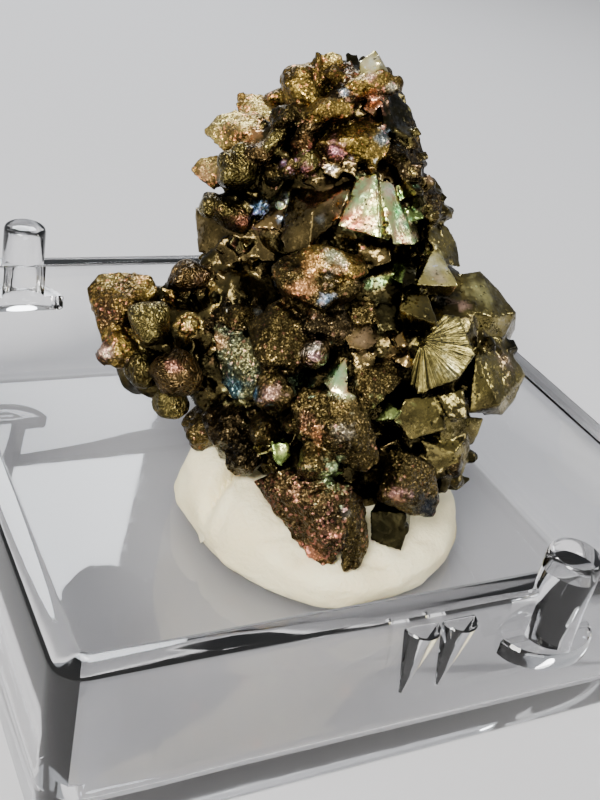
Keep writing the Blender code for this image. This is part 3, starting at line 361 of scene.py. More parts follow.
# Finishes: colour, second colour, relief kind, roughness, share of copper-pink grains
FINISHES = {
    "gold_grain": ((0.26, 0.195, 0.065), (0.10, 0.07, 0.024), "grain", 0.34, 0.3),
    "brown_grain": ((0.104, 0.080, 0.034), (0.056, 0.044, 0.019), "grain", 0.33, 0.12),
    "wedge_grain": ((0.095, 0.068, 0.034), (0.042, 0.031, 0.016), "grain", 0.32, 0.65),
    "pink_grain": ((0.17, 0.10, 0.045), (0.075, 0.05, 0.022), "grain", 0.34, 0.7),
    "cream_grain": ((0.50, 0.40, 0.17), (0.20, 0.14, 0.05), "grain", 0.36, 0.6),
    "dark_grain": ((0.06, 0.045, 0.024), (0.03, 0.024, 0.014), "grain", 0.33, 0.05),
    "olive_worm": ((0.19, 0.16, 0.065), (0.09, 0.072, 0.03), "worm", 0.28, 0.0),
    "brown_worm": ((0.135, 0.095, 0.045), (0.072, 0.052, 0.025), "worm", 0.28, 0.2),
    "olive_facet": ((0.25, 0.21, 0.085), (0.12, 0.10, 0.045), "facet", 0.19, 0.0),
    "bright_facet": ((0.72, 0.64, 0.30), (0.48, 0.42, 0.18), "facet", 0.2, 0.0),
    "brown_facet": ((0.18, 0.14, 0.065), (0.10, 0.078, 0.038), "facet", 0.2, 0.0),
    # Painted shade: the brown facet painted darker, for crystals that sit in the gaps
    "gap_facet": ((0.12, 0.098, 0.045), (0.06, 0.05, 0.024), "facet", 0.2, 0.0),
    "dark_facet": ((0.06, 0.052, 0.025), (0.03, 0.027, 0.014), "facet", 0.25, 0.0),
    "tan_facet": ((0.27, 0.20, 0.095), (0.15, 0.11, 0.055), "facet", 0.21, 0.0),
    "green_facet": ((0.27, 0.36, 0.13), (0.14, 0.17, 0.06), "facet", 0.26, 0.0),
    "rainbow": ((0.66, 0.59, 0.33), (0.50, 0.56, 0.33), "rainbow", 0.2, 0.0),
    "teal_tarnish": ((0.14, 0.14, 0.075), (0.05, 0.062, 0.045), "grain", 0.33, 0.3),
    "fan": ((0.42, 0.36, 0.15), (0.28, 0.24, 0.095), "fan", 0.22, 0.0),
}

# Which finish each shape has, where it isn't the one given to its kind
CRYSTAL_FINISH = "olive_facet"
NODULE_FINISH = "brown_grain"
# Cores and the chance crystals in front take the brown facet painted darker, as shade in the gaps
GAP_FINISH = "gap_facet"
FINISH_OF = {
    "growth_back": "olive_facet",
    "top_peak": "bright_facet", "peak_back": "dark_facet", "peak_left": "pink_grain",
    "pink_plate": "tan_facet", "dark_shoulder": "dark_facet", "gold_table": "gold_grain",
    "brown_slab": "brown_facet", "grey_chip": "brown_facet", "back_block": "cream_grain",
    "bright_block": "cream_grain", "left_spike": "cream_grain", "dark_block": "brown_facet",
    "blue_chip": "teal_tarnish", "white_chip": "rainbow", "cream_pitted": "tan_facet",
    "saddle": "brown_facet", "saddle_ledge": "brown_facet", "rainbow_left": "rainbow",
    "rainbow_right": "rainbow", "rainbow_cap": "tan_facet", "right_column_top": "dark_grain",
    "right_column_mid": "dark_grain", "yellow_chip": "bright_facet", "green_chip": "green_facet",
    "yellow_table": "bright_facet", "green_sliver": "green_facet", "dark_wedge_mid": "dark_facet",
    "under_rainbow": "brown_facet", "fan": "fan", "tan_chip": "tan_facet",
    "tan_chip_low": "tan_facet", "grain_block": "brown_grain", "left_plate": "teal_tarnish",
    "green_pitted": "rainbow", "tan_block": "tan_facet", "brown_block": "brown_grain",
    "low_block": "brown_facet", "mid_dark": "dark_facet", "centre_block": "brown_grain",
    "low_sliver": "bright_facet", "yellow_prism": "green_facet", "green_low": "green_facet",
    "green_low_left": "green_facet", "arm_block": "gold_grain", "arm_chip": "cream_grain",
    "arm_chip_low": "cream_grain", "front_wedge": "wedge_grain", "front_wedge_right": "brown_grain",
    "front_right_block": "brown_grain", "dark_wedge_low": "dark_facet", "green_wedge": "green_facet",
    "prong_left": "gold_grain", "prong_right": "cream_grain", "prong_foot": "gold_grain",
    "top_mound": "gold_grain", "back_bump": "gold_grain", "top_gold": "gold_grain",
    "top_dark": "dark_grain", "ridge_b": "gold_grain",
    "ridge_c": "brown_worm", "ridge_d": "pink_grain", "ridge_e": "olive_worm",
    "pink_knot": "pink_grain", "ball_horn": "olive_worm", "ball_horn_low": "brown_worm",
    "ball_upper": "olive_worm", "ball_cap": "olive_worm", "ball_lens": "olive_worm",
    "ball_lens_end": "olive_worm", "double_upper": "gold_grain", 
    "small_ball": "brown_worm", "dark_lump_a": "dark_grain",
    "dark_lump_b": "dark_grain", "arm_ball": "olive_worm", "arm_knob": "pink_grain",
    "arm_knob_root": "gold_grain", "arm_fold": "brown_worm", "arm_under": "olive_worm",
    "arm_tip": "olive_worm", "arm_shoulder": "brown_worm", "arm_bead": "cream_grain",
    "low_dark_a": "dark_grain", "low_dark_b": "dark_grain",
}

# Patches of tarnish colour, and of painted highlights, sheens and glints: name, across, up, radius in
# millimetres, colour, strength
PATCHES = (
    ("peak_cream", 3.5, 16.9, 0.45, (0.85, 0.80, 0.60), 0.9),
    ("peak_pink", 3.6, 16.2, 0.3, (0.60, 0.36, 0.30), 0.7),
    ("gold_right_tip", 4.6, 15.6, 0.3, (0.52, 0.50, 0.40), 0.7),
    # Painted highlight: a small pale blue-white spot on the dark lump at the top
    ("top_painted_highlight", 2.15, 15.4, 0.14, (0.50, 0.56, 0.62), 0.9),
    ("plate_salmon", 3.6, 14.8, 0.55, (0.66, 0.38, 0.26), 0.9),
    ("table_blue", 4.15, 13.2, 0.35, (0.22, 0.28, 0.33), 0.7),
    ("lilac_spot", -0.85, 11.85, 0.16, (0.78, 0.52, 0.74), 1.0),
    ("pink_spot", 0.15, 11.5, 0.3, (0.70, 0.34, 0.36), 0.8),
    ("knot_lilac", 1.75, 12.4, 0.42, (0.46, 0.24, 0.28), 0.8),
    ("chip_white", 1.6, 11.5, 0.14, (0.6, 0.58, 0.56), 0.8),
    ("block_orange", -2.4, 13.25, 0.4, (0.72, 0.42, 0.20), 0.8),
    ("spike_orange", -4.8, 11.3, 0.5, (0.70, 0.45, 0.25), 0.6),
    ("lens_red", -2.8, 8.9, 0.5, (0.30, 0.13, 0.09), 0.7),
    ("blue_left", -2.2, 9.6, 0.35, (0.25, 0.40, 0.62), 0.9),
    ("violet_left", -2.3, 9.25, 0.2, (0.42, 0.30, 0.55), 0.7),
    ("white_chip_blue", -0.85, 10.1, 0.28, (0.55, 0.62, 0.72), 0.9),
    ("pitted_stripe", -0.95, 9.1, 0.14, (0.60, 0.68, 0.78), 1.0),
    ("saddle_tan", 1.75, 10.2, 0.75, (0.36, 0.26, 0.15), 0.7),
    # Painted highlight: a pale blue-white sheen on the saddle
    ("saddle_sheen", 1.0, 9.0, 0.22, (0.42, 0.44, 0.42), 0.7),
    ("rainbow_green", 2.9, 10.3, 0.5, (0.40, 0.62, 0.36), 0.8),
    ("rainbow_cream", 3.8, 9.7, 0.7, (0.66, 0.58, 0.28), 0.7),
    ("rainbow_pink", 2.7, 8.9, 0.6, (0.62, 0.19, 0.15), 0.9),
    ("rainbow_peach_low", 3.3, 8.4, 0.4, (0.62, 0.36, 0.22), 0.7),
    ("right_white", 4.5, 10.5, 0.35, (0.86, 0.86, 0.78), 0.8),
    ("right_green", 4.9, 9.5, 0.45, (0.24, 0.60, 0.28), 0.9),
    ("right_cyan", 5.1, 8.9, 0.3, (0.22, 0.55, 0.50), 0.8),
    ("right_peach", 5.3, 8.2, 0.35, (0.62, 0.40, 0.24), 0.8),
    ("column_tan", 6.5, 11.2, 0.25, (0.50, 0.36, 0.24), 0.8),
    ("column_gold", 5.8, 13.1, 0.2, (0.34, 0.25, 0.10), 0.7),
    ("column_olive", 6.2, 9.6, 0.35, (0.22, 0.19, 0.08), 0.7),
    ("double_green_white", 1.7, 7.2, 0.45, (0.50, 0.52, 0.36), 0.8),
    ("double_orange", 0.6, 6.9, 0.5, (0.50, 0.30, 0.13), 0.7),
    ("double_peach", 2.0, 6.6, 0.45, (0.48, 0.31, 0.19), 0.6),
    ("double_low_orange", 0.0, 5.5, 0.6, (0.58, 0.32, 0.16), 0.7),
    ("double_blue", 1.25, 4.95, 0.25, (0.45, 0.56, 0.68), 0.9),
    ("double_white", 1.5, 6.3, 0.3, (0.36, 0.38, 0.38), 0.6),
    ("sliver_green_a", 3.6, 5.9, 0.22, (0.22, 0.36, 0.18), 0.8),
    ("table_peach", 6.9, 6.2, 0.4, (0.80, 0.60, 0.42), 0.6),
    ("table_cream", 6.7, 6.6, 0.6, (0.82, 0.80, 0.58), 0.7),
    ("large_pink", 8.25, 4.75, 0.3, (0.66, 0.45, 0.36), 0.7),
    ("large_olive", 9.1, 5.4, 0.8, (0.62, 0.57, 0.28), 0.8),
    ("low_pink", 10.3, 1.9, 0.5, (0.42, 0.30, 0.22), 0.6),
    ("fan_cream", 7.6, 1.5, 0.5, (0.62, 0.58, 0.34), 0.5),
    ("small_ball_pink", 0.7, 2.2, 0.25, (0.74, 0.48, 0.46), 0.8),
    ("small_ball_white", 0.6, 2.6, 0.3, (0.60, 0.56, 0.48), 0.7),
    # Painted glint: a pale sparkle on a lump
    ("lump_sparkle", -2.0, 4.5, 0.3, (0.62, 0.64, 0.60), 0.8),
    ("plate_orange", -4.1, 2.8, 0.35, (0.56, 0.36, 0.20), 0.8),
    ("plate_grey_green", -2.9, 2.4, 0.7, (0.26, 0.24, 0.13), 0.6),
    ("plate_teal", -3.3, 0.6, 0.6, (0.06, 0.13, 0.16), 0.8),
    ("plate_blue", -2.3, 0.3, 0.35, (0.07, 0.16, 0.24), 0.8),
    ("plate_yellow", -3.0, -0.1, 0.3, (0.78, 0.72, 0.34), 0.9),
    ("low_ball_pink", -1.5, 0.3, 0.5, (0.55, 0.36, 0.30), 0.6),
    ("ball_green", 0.05, 1.15, 0.5, (0.40, 0.56, 0.34), 0.85),
    ("pitted_mint", 1.7, 1.3, 0.55, (0.50, 0.70, 0.48), 0.8),
    ("pitted_yellow", 2.2, 0.6, 0.4, (0.78, 0.76, 0.46), 0.8),
    ("tan_block_top", 3.2, 3.1, 0.4, (0.44, 0.32, 0.20), 0.7),
    # Painted highlight: a pale sheen on the centre block
    ("block_sheen", 2.25, -1.6, 0.4, (0.42, 0.37, 0.28), 0.6),
    ("block_orange_knob", 0.8, -1.8, 0.35, (0.52, 0.28, 0.14), 0.7),
    ("centre_red", 0.3, -1.0, 0.35, (0.22, 0.12, 0.08), 0.5),
    ("wedge_green", 4.5, -0.6, 0.5, (0.40, 0.44, 0.18), 0.7),
    ("low_sliver_yellow", -1.8, -2.6, 0.3, (0.80, 0.76, 0.34), 0.9),
    ("prism_yellow", -0.9, -2.5, 0.25, (0.72, 0.74, 0.34), 0.8),
    ("low_green", 1.6, -3.75, 0.5, (0.46, 0.58, 0.34), 0.85),
    ("wedge_pink_low", 0.6, -7.7, 0.4, (0.46, 0.24, 0.18), 0.8),
    ("wedge_pink_mid", 1.4, -6.7, 0.4, (0.28, 0.16, 0.11), 0.5),
    ("wedge_pink_top", -0.3, -4.6, 0.35, (0.28, 0.17, 0.11), 0.5),
    ("wedge_crest", 2.4, -5.6, 0.2, (0.36, 0.35, 0.30), 0.6),
    ("corner_blue_black", 6.3, -5.4, 0.6, (0.035, 0.045, 0.06), 0.9),
    ("block_pink_low", 4.9, -4.8, 0.35, (0.70, 0.42, 0.38), 0.7),
    ("arm_orange", -7.9, 6.1, 0.3, (0.62, 0.40, 0.18), 0.8),
    ("arm_gold", -9.6, 6.0, 0.6, (0.36, 0.29, 0.12), 0.7),
    ("arm_red", -9.7, 4.3, 0.9, (0.085, 0.05, 0.03), 0.85),
    ("arm_fold_pink", -6.3, 1.7, 0.3, (0.36, 0.18, 0.14), 0.6),
    ("arm_knob_cream", -9.7, 2.4, 0.4, (0.74, 0.52, 0.42), 0.7),
    ("arm_shoulder_pink", -5.0, 6.0, 0.3, (0.32, 0.22, 0.15), 0.5),
)
PATCH_REACH = 1.6

# Painted shade held in the vertex colour: how far hollows and undersides are painted darker, and the least
# share left
HOLLOW_SHADE = 0.95
UNDER_SHADE = 0.45
LEAST_SHARE = 0.16
TINT_GAIN = 1.25
TINT_CONTRAST = 1.3

# Corners that the fan-shaped face's lines and ridges spread from: across, up, toward
FAN_CORNER = (6.1, 2.95, 3.6)
FAN_RIDGE_CORNER = (6.1, 2.85)

# Edges sharper than these angles, in degrees, stay crisp
GROUP_CRISP = 32
TACK_CRISP = 60
TRAY_CRISP = 40

# Soft lights: name, place in metres, size, share of the main light's power, colour
LIGHTS = (
    ("key", (-0.13, -0.10, 0.16), 0.09, 1.0, (1.0, 0.97, 0.92)),
    ("side", (0.16, -0.06, 0.10), 0.06, 0.16, (1.0, 1.0, 1.0)),
    ("front", (-0.05, -0.22, 0.05), 0.14, 0.22, (1.0, 1.0, 1.0)),
    ("rim", (0.03, 0.17, 0.13), 0.08, 0.3, (0.92, 0.96, 1.0)),
)
LIT_PLACE = (0.001, 0.0, 0.011)
ROOM_LIGHT_FROM = (-0.55, -0.35, 0.75)
FLOOR_HALF = 900.0
FLOOR_DROP = 0.00003
CAMERA_LENS = 50.0
CAMERA_SENSOR = 36.0


def picture_axes():
    """Right, up and forward directions of the picture that the group is measured in."""
    forward = Vector((math.sin(LOOK_RIGHT) * math.cos(LOOK_DOWN),
                      math.cos(LOOK_RIGHT) * math.cos(LOOK_DOWN),
                      -math.sin(LOOK_DOWN)))
    level = Vector((math.cos(LOOK_RIGHT), -math.sin(LOOK_RIGHT), 0.0))
    upright = level.cross(forward)
    right = level * math.cos(PICTURE_TILT) + upright * math.sin(PICTURE_TILT)
    up = upright * math.cos(PICTURE_TILT) - level * math.sin(PICTURE_TILT)
    return right, up, forward


RIGHT, UP, FORWARD = picture_axes()


def seen(across, up, toward):
    """The point, in millimetres, that shows at this place in the picture."""
    depth = PICTURE_DISTANCE - toward - GROUP_FORWARD
    ray = FORWARD + RIGHT * (across / PICTURE_DISTANCE) + UP * (up / PICTURE_DISTANCE)
    return EYE + ray * depth


def pictured(point):
    """Where a point in millimetres shows in the picture: across, up, toward."""
    ray = point - EYE
    depth = ray.dot(FORWARD)
    scale = PICTURE_DISTANCE / depth
    return Vector((ray.dot(RIGHT) * scale, ray.dot(UP) * scale,
                   PICTURE_DISTANCE - GROUP_FORWARD - depth))


def lift(point):
    """Keep a point of the group above the level that its foot is cut to."""
    point.z = max(point.z, FOOT_LEVEL)
    return point


def buried(point, share=0.8):
    """Whether a point lies well inside the core, where nothing shows."""
    place = pictured(point)
    for centre, radii in CORE.values():
        away = place - Vector(centre)
        if (away.x / radii[0]) ** 2 + (away.y / radii[1]) ** 2 + (away.z / radii[2]) ** 2 < share:
            return True
    return False


def new_object(name, bm):
    """An object in the scene from a bmesh in millimetres, with its faces pointing out."""
    bmesh.ops.recalc_face_normals(bm, faces=bm.faces)
    bmesh.ops.scale(bm, vec=(MM, MM, MM), verts=bm.verts)
    mesh = bpy.data.meshes.new(name)
    bm.to_mesh(mesh)
    bm.free()
    obj = bpy.data.objects.new(name, mesh)
    bpy.context.scene.collection.objects.link(obj)
    return obj


def hull_of(points):
    """The closed convex solid around some points."""
    apart = []
    for point in points:
        if all((point - other).length > LEAST_GAP for other in apart):
            apart.append(point)
    bm = bmesh.new()
    for point in apart:
        bm.verts.new(point)
    bmesh.ops.convex_hull(bm, input=bm.verts)
    bmesh.ops.delete(bm, geom=[v for v in bm.verts if not v.link_faces], context="VERTS")
    bmesh.ops.triangulate(bm, faces=bm.faces)
    return bm


def worn_hull(points, wear):
    """The solid around some points, with its edges and corners blunted."""
    middle = sum(points, Vector()) / len(points)
    blunt = []
    for point in points:
        inner = point + (middle - point).normalized() * wear * 1.4
        for axis in (Vector((1, 0, 0)), Vector((0, 1, 0)), Vector((0, 0, 1))):
            blunt.extend((inner + axis * wear, inner - axis * wear))
    return hull_of([lift(p) for p in blunt])


def refine(bm, longest, shows=None):
    """Split every edge that is longer than a limit, where it shows, until none is left."""
    for _ in range(7):
        lengthy = [e for e in bm.edges if e.calc_length() > longest
                   and (shows is None or shows((e.verts[0].co + e.verts[1].co) / 2))]
        if not lengthy:
            return
        bmesh.ops.subdivide_edges(bm, edges=lengthy, cuts=1, use_grid_fill=False)
        bmesh.ops.triangulate(bm, faces=[f for f in bm.faces if len(f.verts) > 3])


def any_way(rng):
    """A vector that points any way, each way as likely as another."""
    return Vector((rng.gauss(0, 1), rng.gauss(0, 1), rng.gauss(0, 1)))


def attitude(outward, rng):
    """The turn that stands a shape on its outward direction, spun at random about it."""
    aim = outward.to_track_quat("Z", "Y").to_matrix()
    return aim @ Matrix.Rotation(rng.uniform(0.0, math.pi), 3, "Z")


def finish_of(name):
    """The finish of a named crystal, lump, core lump or chance crystal."""
    if name in FINISHES:
        return name
    if name in CRYSTALS:
        return FINISH_OF.get(name, CRYSTAL_FINISH)
    if name in NODULES:
        return FINISH_OF.get(name, NODULE_FINISH)
    return FINISH_OF.get(name, GAP_FINISH)


def relief_of(name):
    """The kind of relief that a shape's finish has."""
    return FINISHES[finish_of(name)][2]


def crystal_points(root, corners):
    """A crystal's visible corners and its root, in millimetres."""
    front = [Vector(c) for c in corners]
    middle = sum(front, Vector()) / len(front)
    heart = min((Vector(c) for c, _ in CORE.values()), key=lambda c: (c - middle).length)
    inward = ((heart - middle).normalized() + Vector((0.0, 0.0, -1.0))).normalized() * root
    rooted = [middle + (c - middle) * 0.6 + inward for c in front[::2]]
    return [lift(seen(*c)) for c in front + rooted]


def cell_tilt(point, cells):
    """A rough, faceted height: each cell of about 1/cells mm is a small plane with its own tilt."""
    spot = point * cells
    gaps, centres = noise.voronoi(spot)
    tilt = noise.cell_vector(centres[0] * 7.31) - Vector((0.5, 0.5, 0.5))
    return (spot - centres[0]).dot(tilt) * 1.3 + tilt.x * 0.5 - 0.35 * math.exp(-(gaps[1] - gaps[0]) * 9.0)


def grain_height(point, normal, along):
    """Coarse and fine grains, each a small tilted plane."""
    return 0.05 * cell_tilt(point, 1.5) + 0.03 * cell_tilt(point + Vector((3.1, 0, 5.7)), 4.2)


def worm_height(point, normal, along):
    """Shallow winding ridges, as contour lines of a slow noise."""
    swirl = noise.noise(point * 0.75 + Vector((4.0, 1.0, 7.0)))
    return 0.006 * math.sin(swirl * 60.0) + 0.05 * noise.noise(point * 1.7)


def facet_height(point, normal, along):
    """Growth terraces and parallel striations on a flat face."""
    across = normal.cross(along)
    reach = point.dot(across) / max(across.length, 0.2)
    terrace = noise.noise(point * 0.9 + along * 3.0) * 3.0
    line = noise.noise(Vector((reach * 5.5, along.x * 9.0, along.y * 9.0)))
    return 0.045 * (round(terrace) - 0.25 * terrace) * 0.6 + 0.008 * line + 0.014 * cell_tilt(point, 2.6)


def rainbow_height(point, normal, along):
    """A nearly flat face with round pits in some of its cells."""
    gaps, centres = noise.voronoi(point * 2.6)
    pit = noise.cell(centres[0] * 5.7) > 0.62
    return -0.07 * max(0.0, 1.0 - gaps[0] / 0.1) if pit else 0.01 * noise.noise(point * 2.0)


def fan_height(point, normal, along):
    """Ridges that spread from one corner of the face."""
    place = pictured(point)
    angle = math.atan2(place.y - FAN_RIDGE_CORNER[1], place.x - FAN_RIDGE_CORNER[0])
    return 0.05 * noise.noise(Vector((angle * 16.0, 0.0, 0.0))) + 0.02 * cell_tilt(point, 3.0)


RELIEFS = {"grain": grain_height, "worm": worm_height, "facet": facet_height,
           "rainbow": rainbow_height, "fan": fan_height}


def add_relief(bm, kind, along, strength=1.0):
    """Move each point along its normal by the relief of that kind."""
    bm.normal_update()
    height = RELIEFS[kind]
    moves = [height(v.co, v.normal, along) * strength for v in bm.verts]
    for vert, move in zip(bm.verts, moves):
        vert.co += vert.normal * move


def make_crystal(name, root, corners):
    """A flat-faced crystal with worn edges and its finish's relief."""
    kind = relief_of(name)
    points = crystal_points(root, corners)
    bm = worn_hull(points, GRAINY_WEAR if kind == "grain" else SMOOTH_WEAR)
    fine = PITTED_EDGE if kind in ("rainbow", "fan") else FINE_EDGE
    refine(bm, fine, lambda p: not buried(p))
    along = (points[0] - points[-1]).normalized()
    add_relief(bm, kind, along)
    return bm


def parallel_growths(name, root, corners, rng):
    """Small copies of a crystal at its corners, in the same attitude, that make steps on it."""
    kind = relief_of(name)
    if kind in ("rainbow", "fan") or root < 1.1:
        return []
    points = crystal_points(root, corners)
    front = points[:len(corners)]
    middle = sum(front, Vector()) / len(front)
    made = []
    for _ in range(rng.choice((1, 2, 3))):
        corner = rng.choice(front)
        size = rng.uniform(0.2, 0.42)
        shift = (corner - middle).normalized() * rng.uniform(-0.05, 0.06)
        shift -= FORWARD * rng.uniform(0.0, 0.12)
        copy = [corner + (p - corner) * size + shift for p in points]
        bm = hull_of([lift(p) for p in copy])
        refine(bm, FINE_EDGE * 1.4, lambda p: not buried(p))
        add_relief(bm, kind, FORWARD, 0.5)
        made.append(bm)
    return made


def make_lump(name, centre, radii, turn, rng):
    """A rounded, blocky lump: a ball pulled in by a few flat planes, then its finish's relief."""
    kind = relief_of(name)
    sides, hard, least = ROUND_PLANES if kind == "worm" else BLOCKY_PLANES
    planes = []
    for index in range(sides):
        height = 1.0 - 2.0 * (index + 0.5) / sides
        angle = index * GOLDEN_ANGLE + rng.uniform(-0.5, 0.5)
        ring = math.sqrt(1.0 - height * height)
        planes.append((Vector((math.cos(angle) * ring, math.sin(angle) * ring, height)),
                       rng.uniform(least, 1.0)))
    bm = bmesh.new()
    detail = 5 if max(radii) > LARGE_LUMP else 4
    bmesh.ops.create_icosphere(bm, subdivisions=detail, radius=1.0)
    spin = Matrix.Rotation(math.radians(turn), 3, "Z")
    middle = seen(*centre)
    shift = Vector(centre) * 3.0
    for vert in bm.verts:
        way = vert.co.normalized()
        pull = sum((max(0.0, way.dot(n)) / d) ** hard for n, d in planes) ** (-1.0 / hard)
        swell = min(pull, 1.12) * (1.0 + 0.14 * noise.noise(way * 1.6 + shift))
        flat = spin @ Vector((way.x * radii[0] * swell, way.y * radii[1] * swell, way.z * radii[2] * swell))
        vert.co = lift(middle + RIGHT * flat.x + UP * flat.y - FORWARD * flat.z)
    add_relief(bm, kind, UP)
    return bm


def make_core(centre, radii):
    """A rough lump of the inner mass."""
    bm = bmesh.new()
    bmesh.ops.create_icosphere(bm, subdivisions=4, radius=1.0)
    shift = Vector(centre) * 3.0
    middle = seen(*centre)
    for vert in bm.verts:
        way = vert.co.normalized()
        swell = 1.0 + 0.28 * noise.noise(way * 1.6 + shift)
        vert.co = lift(middle + (RIGHT * way.x * radii[0] + UP * way.y * radii[1]
                                 - FORWARD * way.z * radii[2]) * swell)
    bm.normal_update()
    for vert in bm.verts:
        vert.co += vert.normal * (0.3 * cell_tilt(vert.co, 0.8))
    return bm


def plain(name, bm):
    """A shape's name, corners and faces, with its bmesh freed."""
    bmesh.ops.recalc_face_normals(bm, faces=bm.faces)
    bm.verts.index_update()
    shape = (name, [v.co.copy() for v in bm.verts], [[v.index for v in f.verts] for f in bm.faces])
    bm.free()
    return shape


def grown_block(middle, outward, size, rng):
    """A blunt, four-sided crystal that stands out from the mass."""
    turn = attitude(outward, rng)
    wide = size * rng.uniform(0.8, 1.2)
    narrow = size * rng.uniform(0.6, 1.0)
    taper = rng.uniform(0.15, 0.6)
    reach = size * rng.uniform(0.7, 1.1)
    lean = Vector((rng.uniform(-0.3, 0.3), rng.uniform(-0.3, 0.3), 0.0)) * size
    points = []
    for x, y in SQUARE:
        points.append(Vector((x * wide * 0.5, y * narrow * 0.5, -size)))
        points.append(Vector((x * wide * 0.62, y * narrow * 0.62, 0.1 * reach)))
        points.append(Vector((x * wide * 0.5 * taper, y * narrow * 0.5, reach)) + lean)
    return hull_of([lift(middle + turn @ p) for p in points])


def chance_growth():
    """Seeded crystals all round the core: large ones behind, small ones in the gaps in front."""
    rng = random.Random(GROWTH_SEED)
    names = [n for n in CORE if n not in SLENDER_CORES]
    made = []
    for count, sizes, hidden in GROWTHS:
        done = 0
        while done < count:
            centre, radii = CORE[rng.choice(names if hidden else list(CORE))]
            way = any_way(rng).normalized()
            if (way.z > HIDDEN_BELOW) == hidden:
                continue
            sunk = HIDDEN_SUNK if hidden else FRONT_SUNK
            spot = Vector(centre) + Vector((way.x * radii[0], way.y * radii[1], way.z * radii[2])) * sunk
            outward = RIGHT * way.x / radii[0] + UP * way.y / radii[1] - FORWARD * way.z / radii[2]
            size = rng.uniform(*sizes)
            bm = grown_block(seen(*spot), outward.normalized(), size, rng)
            made.append(("growth_back" if hidden else "growth_front", bm))
            done += 1
    return made


def druse(shapes, rng):
    """Very small crystals on the grainy shapes, half sunk in them, facing any way."""
    made = []
    for name, bm in shapes:
        for face in bm.faces if relief_of(name) == "grain" else ():
            if rng.random() > face.calc_area() * DRUSE_PER_MM2:
                continue
            spot = face.calc_center_median()
            if buried(spot, 1.0):
                continue
            size = rng.uniform(*DRUSE_SIZE) * (WEDGE_DRUSE if name == "front_wedge" else 1.0)
            facing = face.normal + any_way(rng) * DRUSE_SCATTER
            turn = attitude(facing.normalized(), rng)
            stretch = rng.uniform(0.7, 1.4)
            points = []
            for x, y in SQUARE:
                points.append(Vector((x * size * 0.5 * stretch, y * size * 0.5, -size * 0.6)))
                points.append(Vector((x * size * 0.4 * stretch, y * size * 0.4, size * 0.4)))
            made.append(plain(name, hull_of([lift(spot + turn @ p) for p in points])))
    return made


def studs(shapes, rng):
    """Blunt blocks on the plainer shapes, each with a finish of its own."""
    made = []
    for name, bm in shapes:
        for face in bm.faces if name in STUDS or name in BACK_STUDS else ():
            behind = face.normal.dot(FORWARD) > 0.1
            density = (BACK_STUDS if behind else STUDS).get(name, 0.0)
            if rng.random() > face.calc_area() * density:
                continue
            spot = face.calc_center_median()
            if not buried(spot, 0.75):
                facing = face.normal + any_way(rng) * STUD_SCATTER
                size = rng.uniform(*STUD_SIZE) * (BACK_STUD_SCALE if behind else 1.0)
                block = grown_block(spot, facing.normalized(), size, rng)
                refine(block, COARSE_EDGE)
                add_relief(block, "facet", UP, 0.6)
                made.append(plain(rng.choice(STUD_FINISHES), block))
    return made


def group_shapes():
    """Every shape that the group is fused from, as (name, bmesh)."""
    rng = random.Random(GROWTH_SEED + 1)
    shapes = []
    for name, (centre, radii) in CORE.items():
        shapes.append((name, make_core(centre, radii)))
    for name, (root, corners) in CRYSTALS.items():
        shapes.append((name, make_crystal(name, root, corners)))
        for bm in parallel_growths(name, root, corners, rng):
            shapes.append((name, bm))
    for name, (centre, radii, turn) in NODULES.items():
        shapes.append((name, make_lump(name, centre, radii, turn, rng)))
    for name, bm in chance_growth():
        refine(bm, COARSE_EDGE, lambda p: not buried(p))
        add_relief(bm, "facet", FORWARD, 0.6)
        shapes.append((name, bm))
    return shapes


def fuse(base, operands, operation="UNION"):
    """Join or cut with every operand, then delete the operands."""
    tools = bpy.data.collections.new("tools")
    bpy.context.scene.collection.children.link(tools)
    for obj in operands:
        bpy.context.scene.collection.objects.unlink(obj)
        tools.objects.link(obj)
    modifier = base.modifiers.new("fuse", "BOOLEAN")
    modifier.operation = operation
    modifier.solver = "MANIFOLD"
    modifier.operand_type = "COLLECTION"
    modifier.collection = tools
    apply_modifiers(base)
    for obj in operands:
        bpy.data.objects.remove(obj)
    bpy.data.collections.remove(tools)


def grown_together(name, shapes):
    """One object whose skin wraps all the shapes, as if they had grown into each other."""
    corners = []
    faces = []
    for _, places, loops in shapes:
        start = len(corners)
        corners.extend(places)
        faces.extend([start + index for index in loop] for loop in loops)
    mesh = bpy.data.meshes.new(name)
    mesh.from_pydata(corners, [], faces)
    obj = bpy.data.objects.new(name, mesh)
    bpy.context.scene.collection.objects.link(obj)
    modifier = obj.modifiers.new("skin", "REMESH")
    modifier.mode = "VOXEL"
    modifier.voxel_size = SKIN_GRAIN
    apply_modifiers(obj)
    return obj


def apply_modifiers(obj):
    """Make what an object's modifiers give its own mesh, and drop them."""
    graph = bpy.context.evaluated_depsgraph_get()
    mesh = bpy.data.meshes.new_from_object(obj.evaluated_get(graph))
    obj.modifiers.clear()
    old = obj.data
    obj.data = mesh
    bpy.data.meshes.remove(old)
    mesh.name = obj.name


def keep_outer_skin(obj):
    """Drop what isn't joined to the largest surface, such as the walls of sealed hollows."""
    bm = bmesh.new()
    bm.from_mesh(obj.data)
    skins = []
    waiting = set(bm.faces)
    while waiting:
        front = [waiting.pop()]
        skin = set(front)
        while front:
            face = front.pop()
            for edge in face.edges:
                for near in edge.link_faces:
                    if near in waiting:
                        waiting.remove(near)
                        skin.add(near)
                        front.append(near)
        skins.append(skin)
    outer = max(skins, key=len)
    spare = [f for skin in skins if skin is not outer for f in skin]
    bmesh.ops.delete(bm, geom=spare, context="FACES")
    bmesh.ops.delete(bm, geom=[v for v in bm.verts if not v.link_faces], context="VERTS")
    bmesh.ops.triangulate(bm, faces=bm.faces)
    bm.to_mesh(obj.data)
    bm.free()


def thin_out(obj, triangles):
    """Collapse edges, the flattest first, until about so many triangles are left."""
    present = len(obj.data.loops) - 2 * len(obj.data.polygons)
    if present <= triangles:
        return
    modifier = obj.modifiers.new("thin_out", "DECIMATE")
    modifier.ratio = triangles / present
    modifier.use_collapse_triangulate = True
    apply_modifiers(obj)


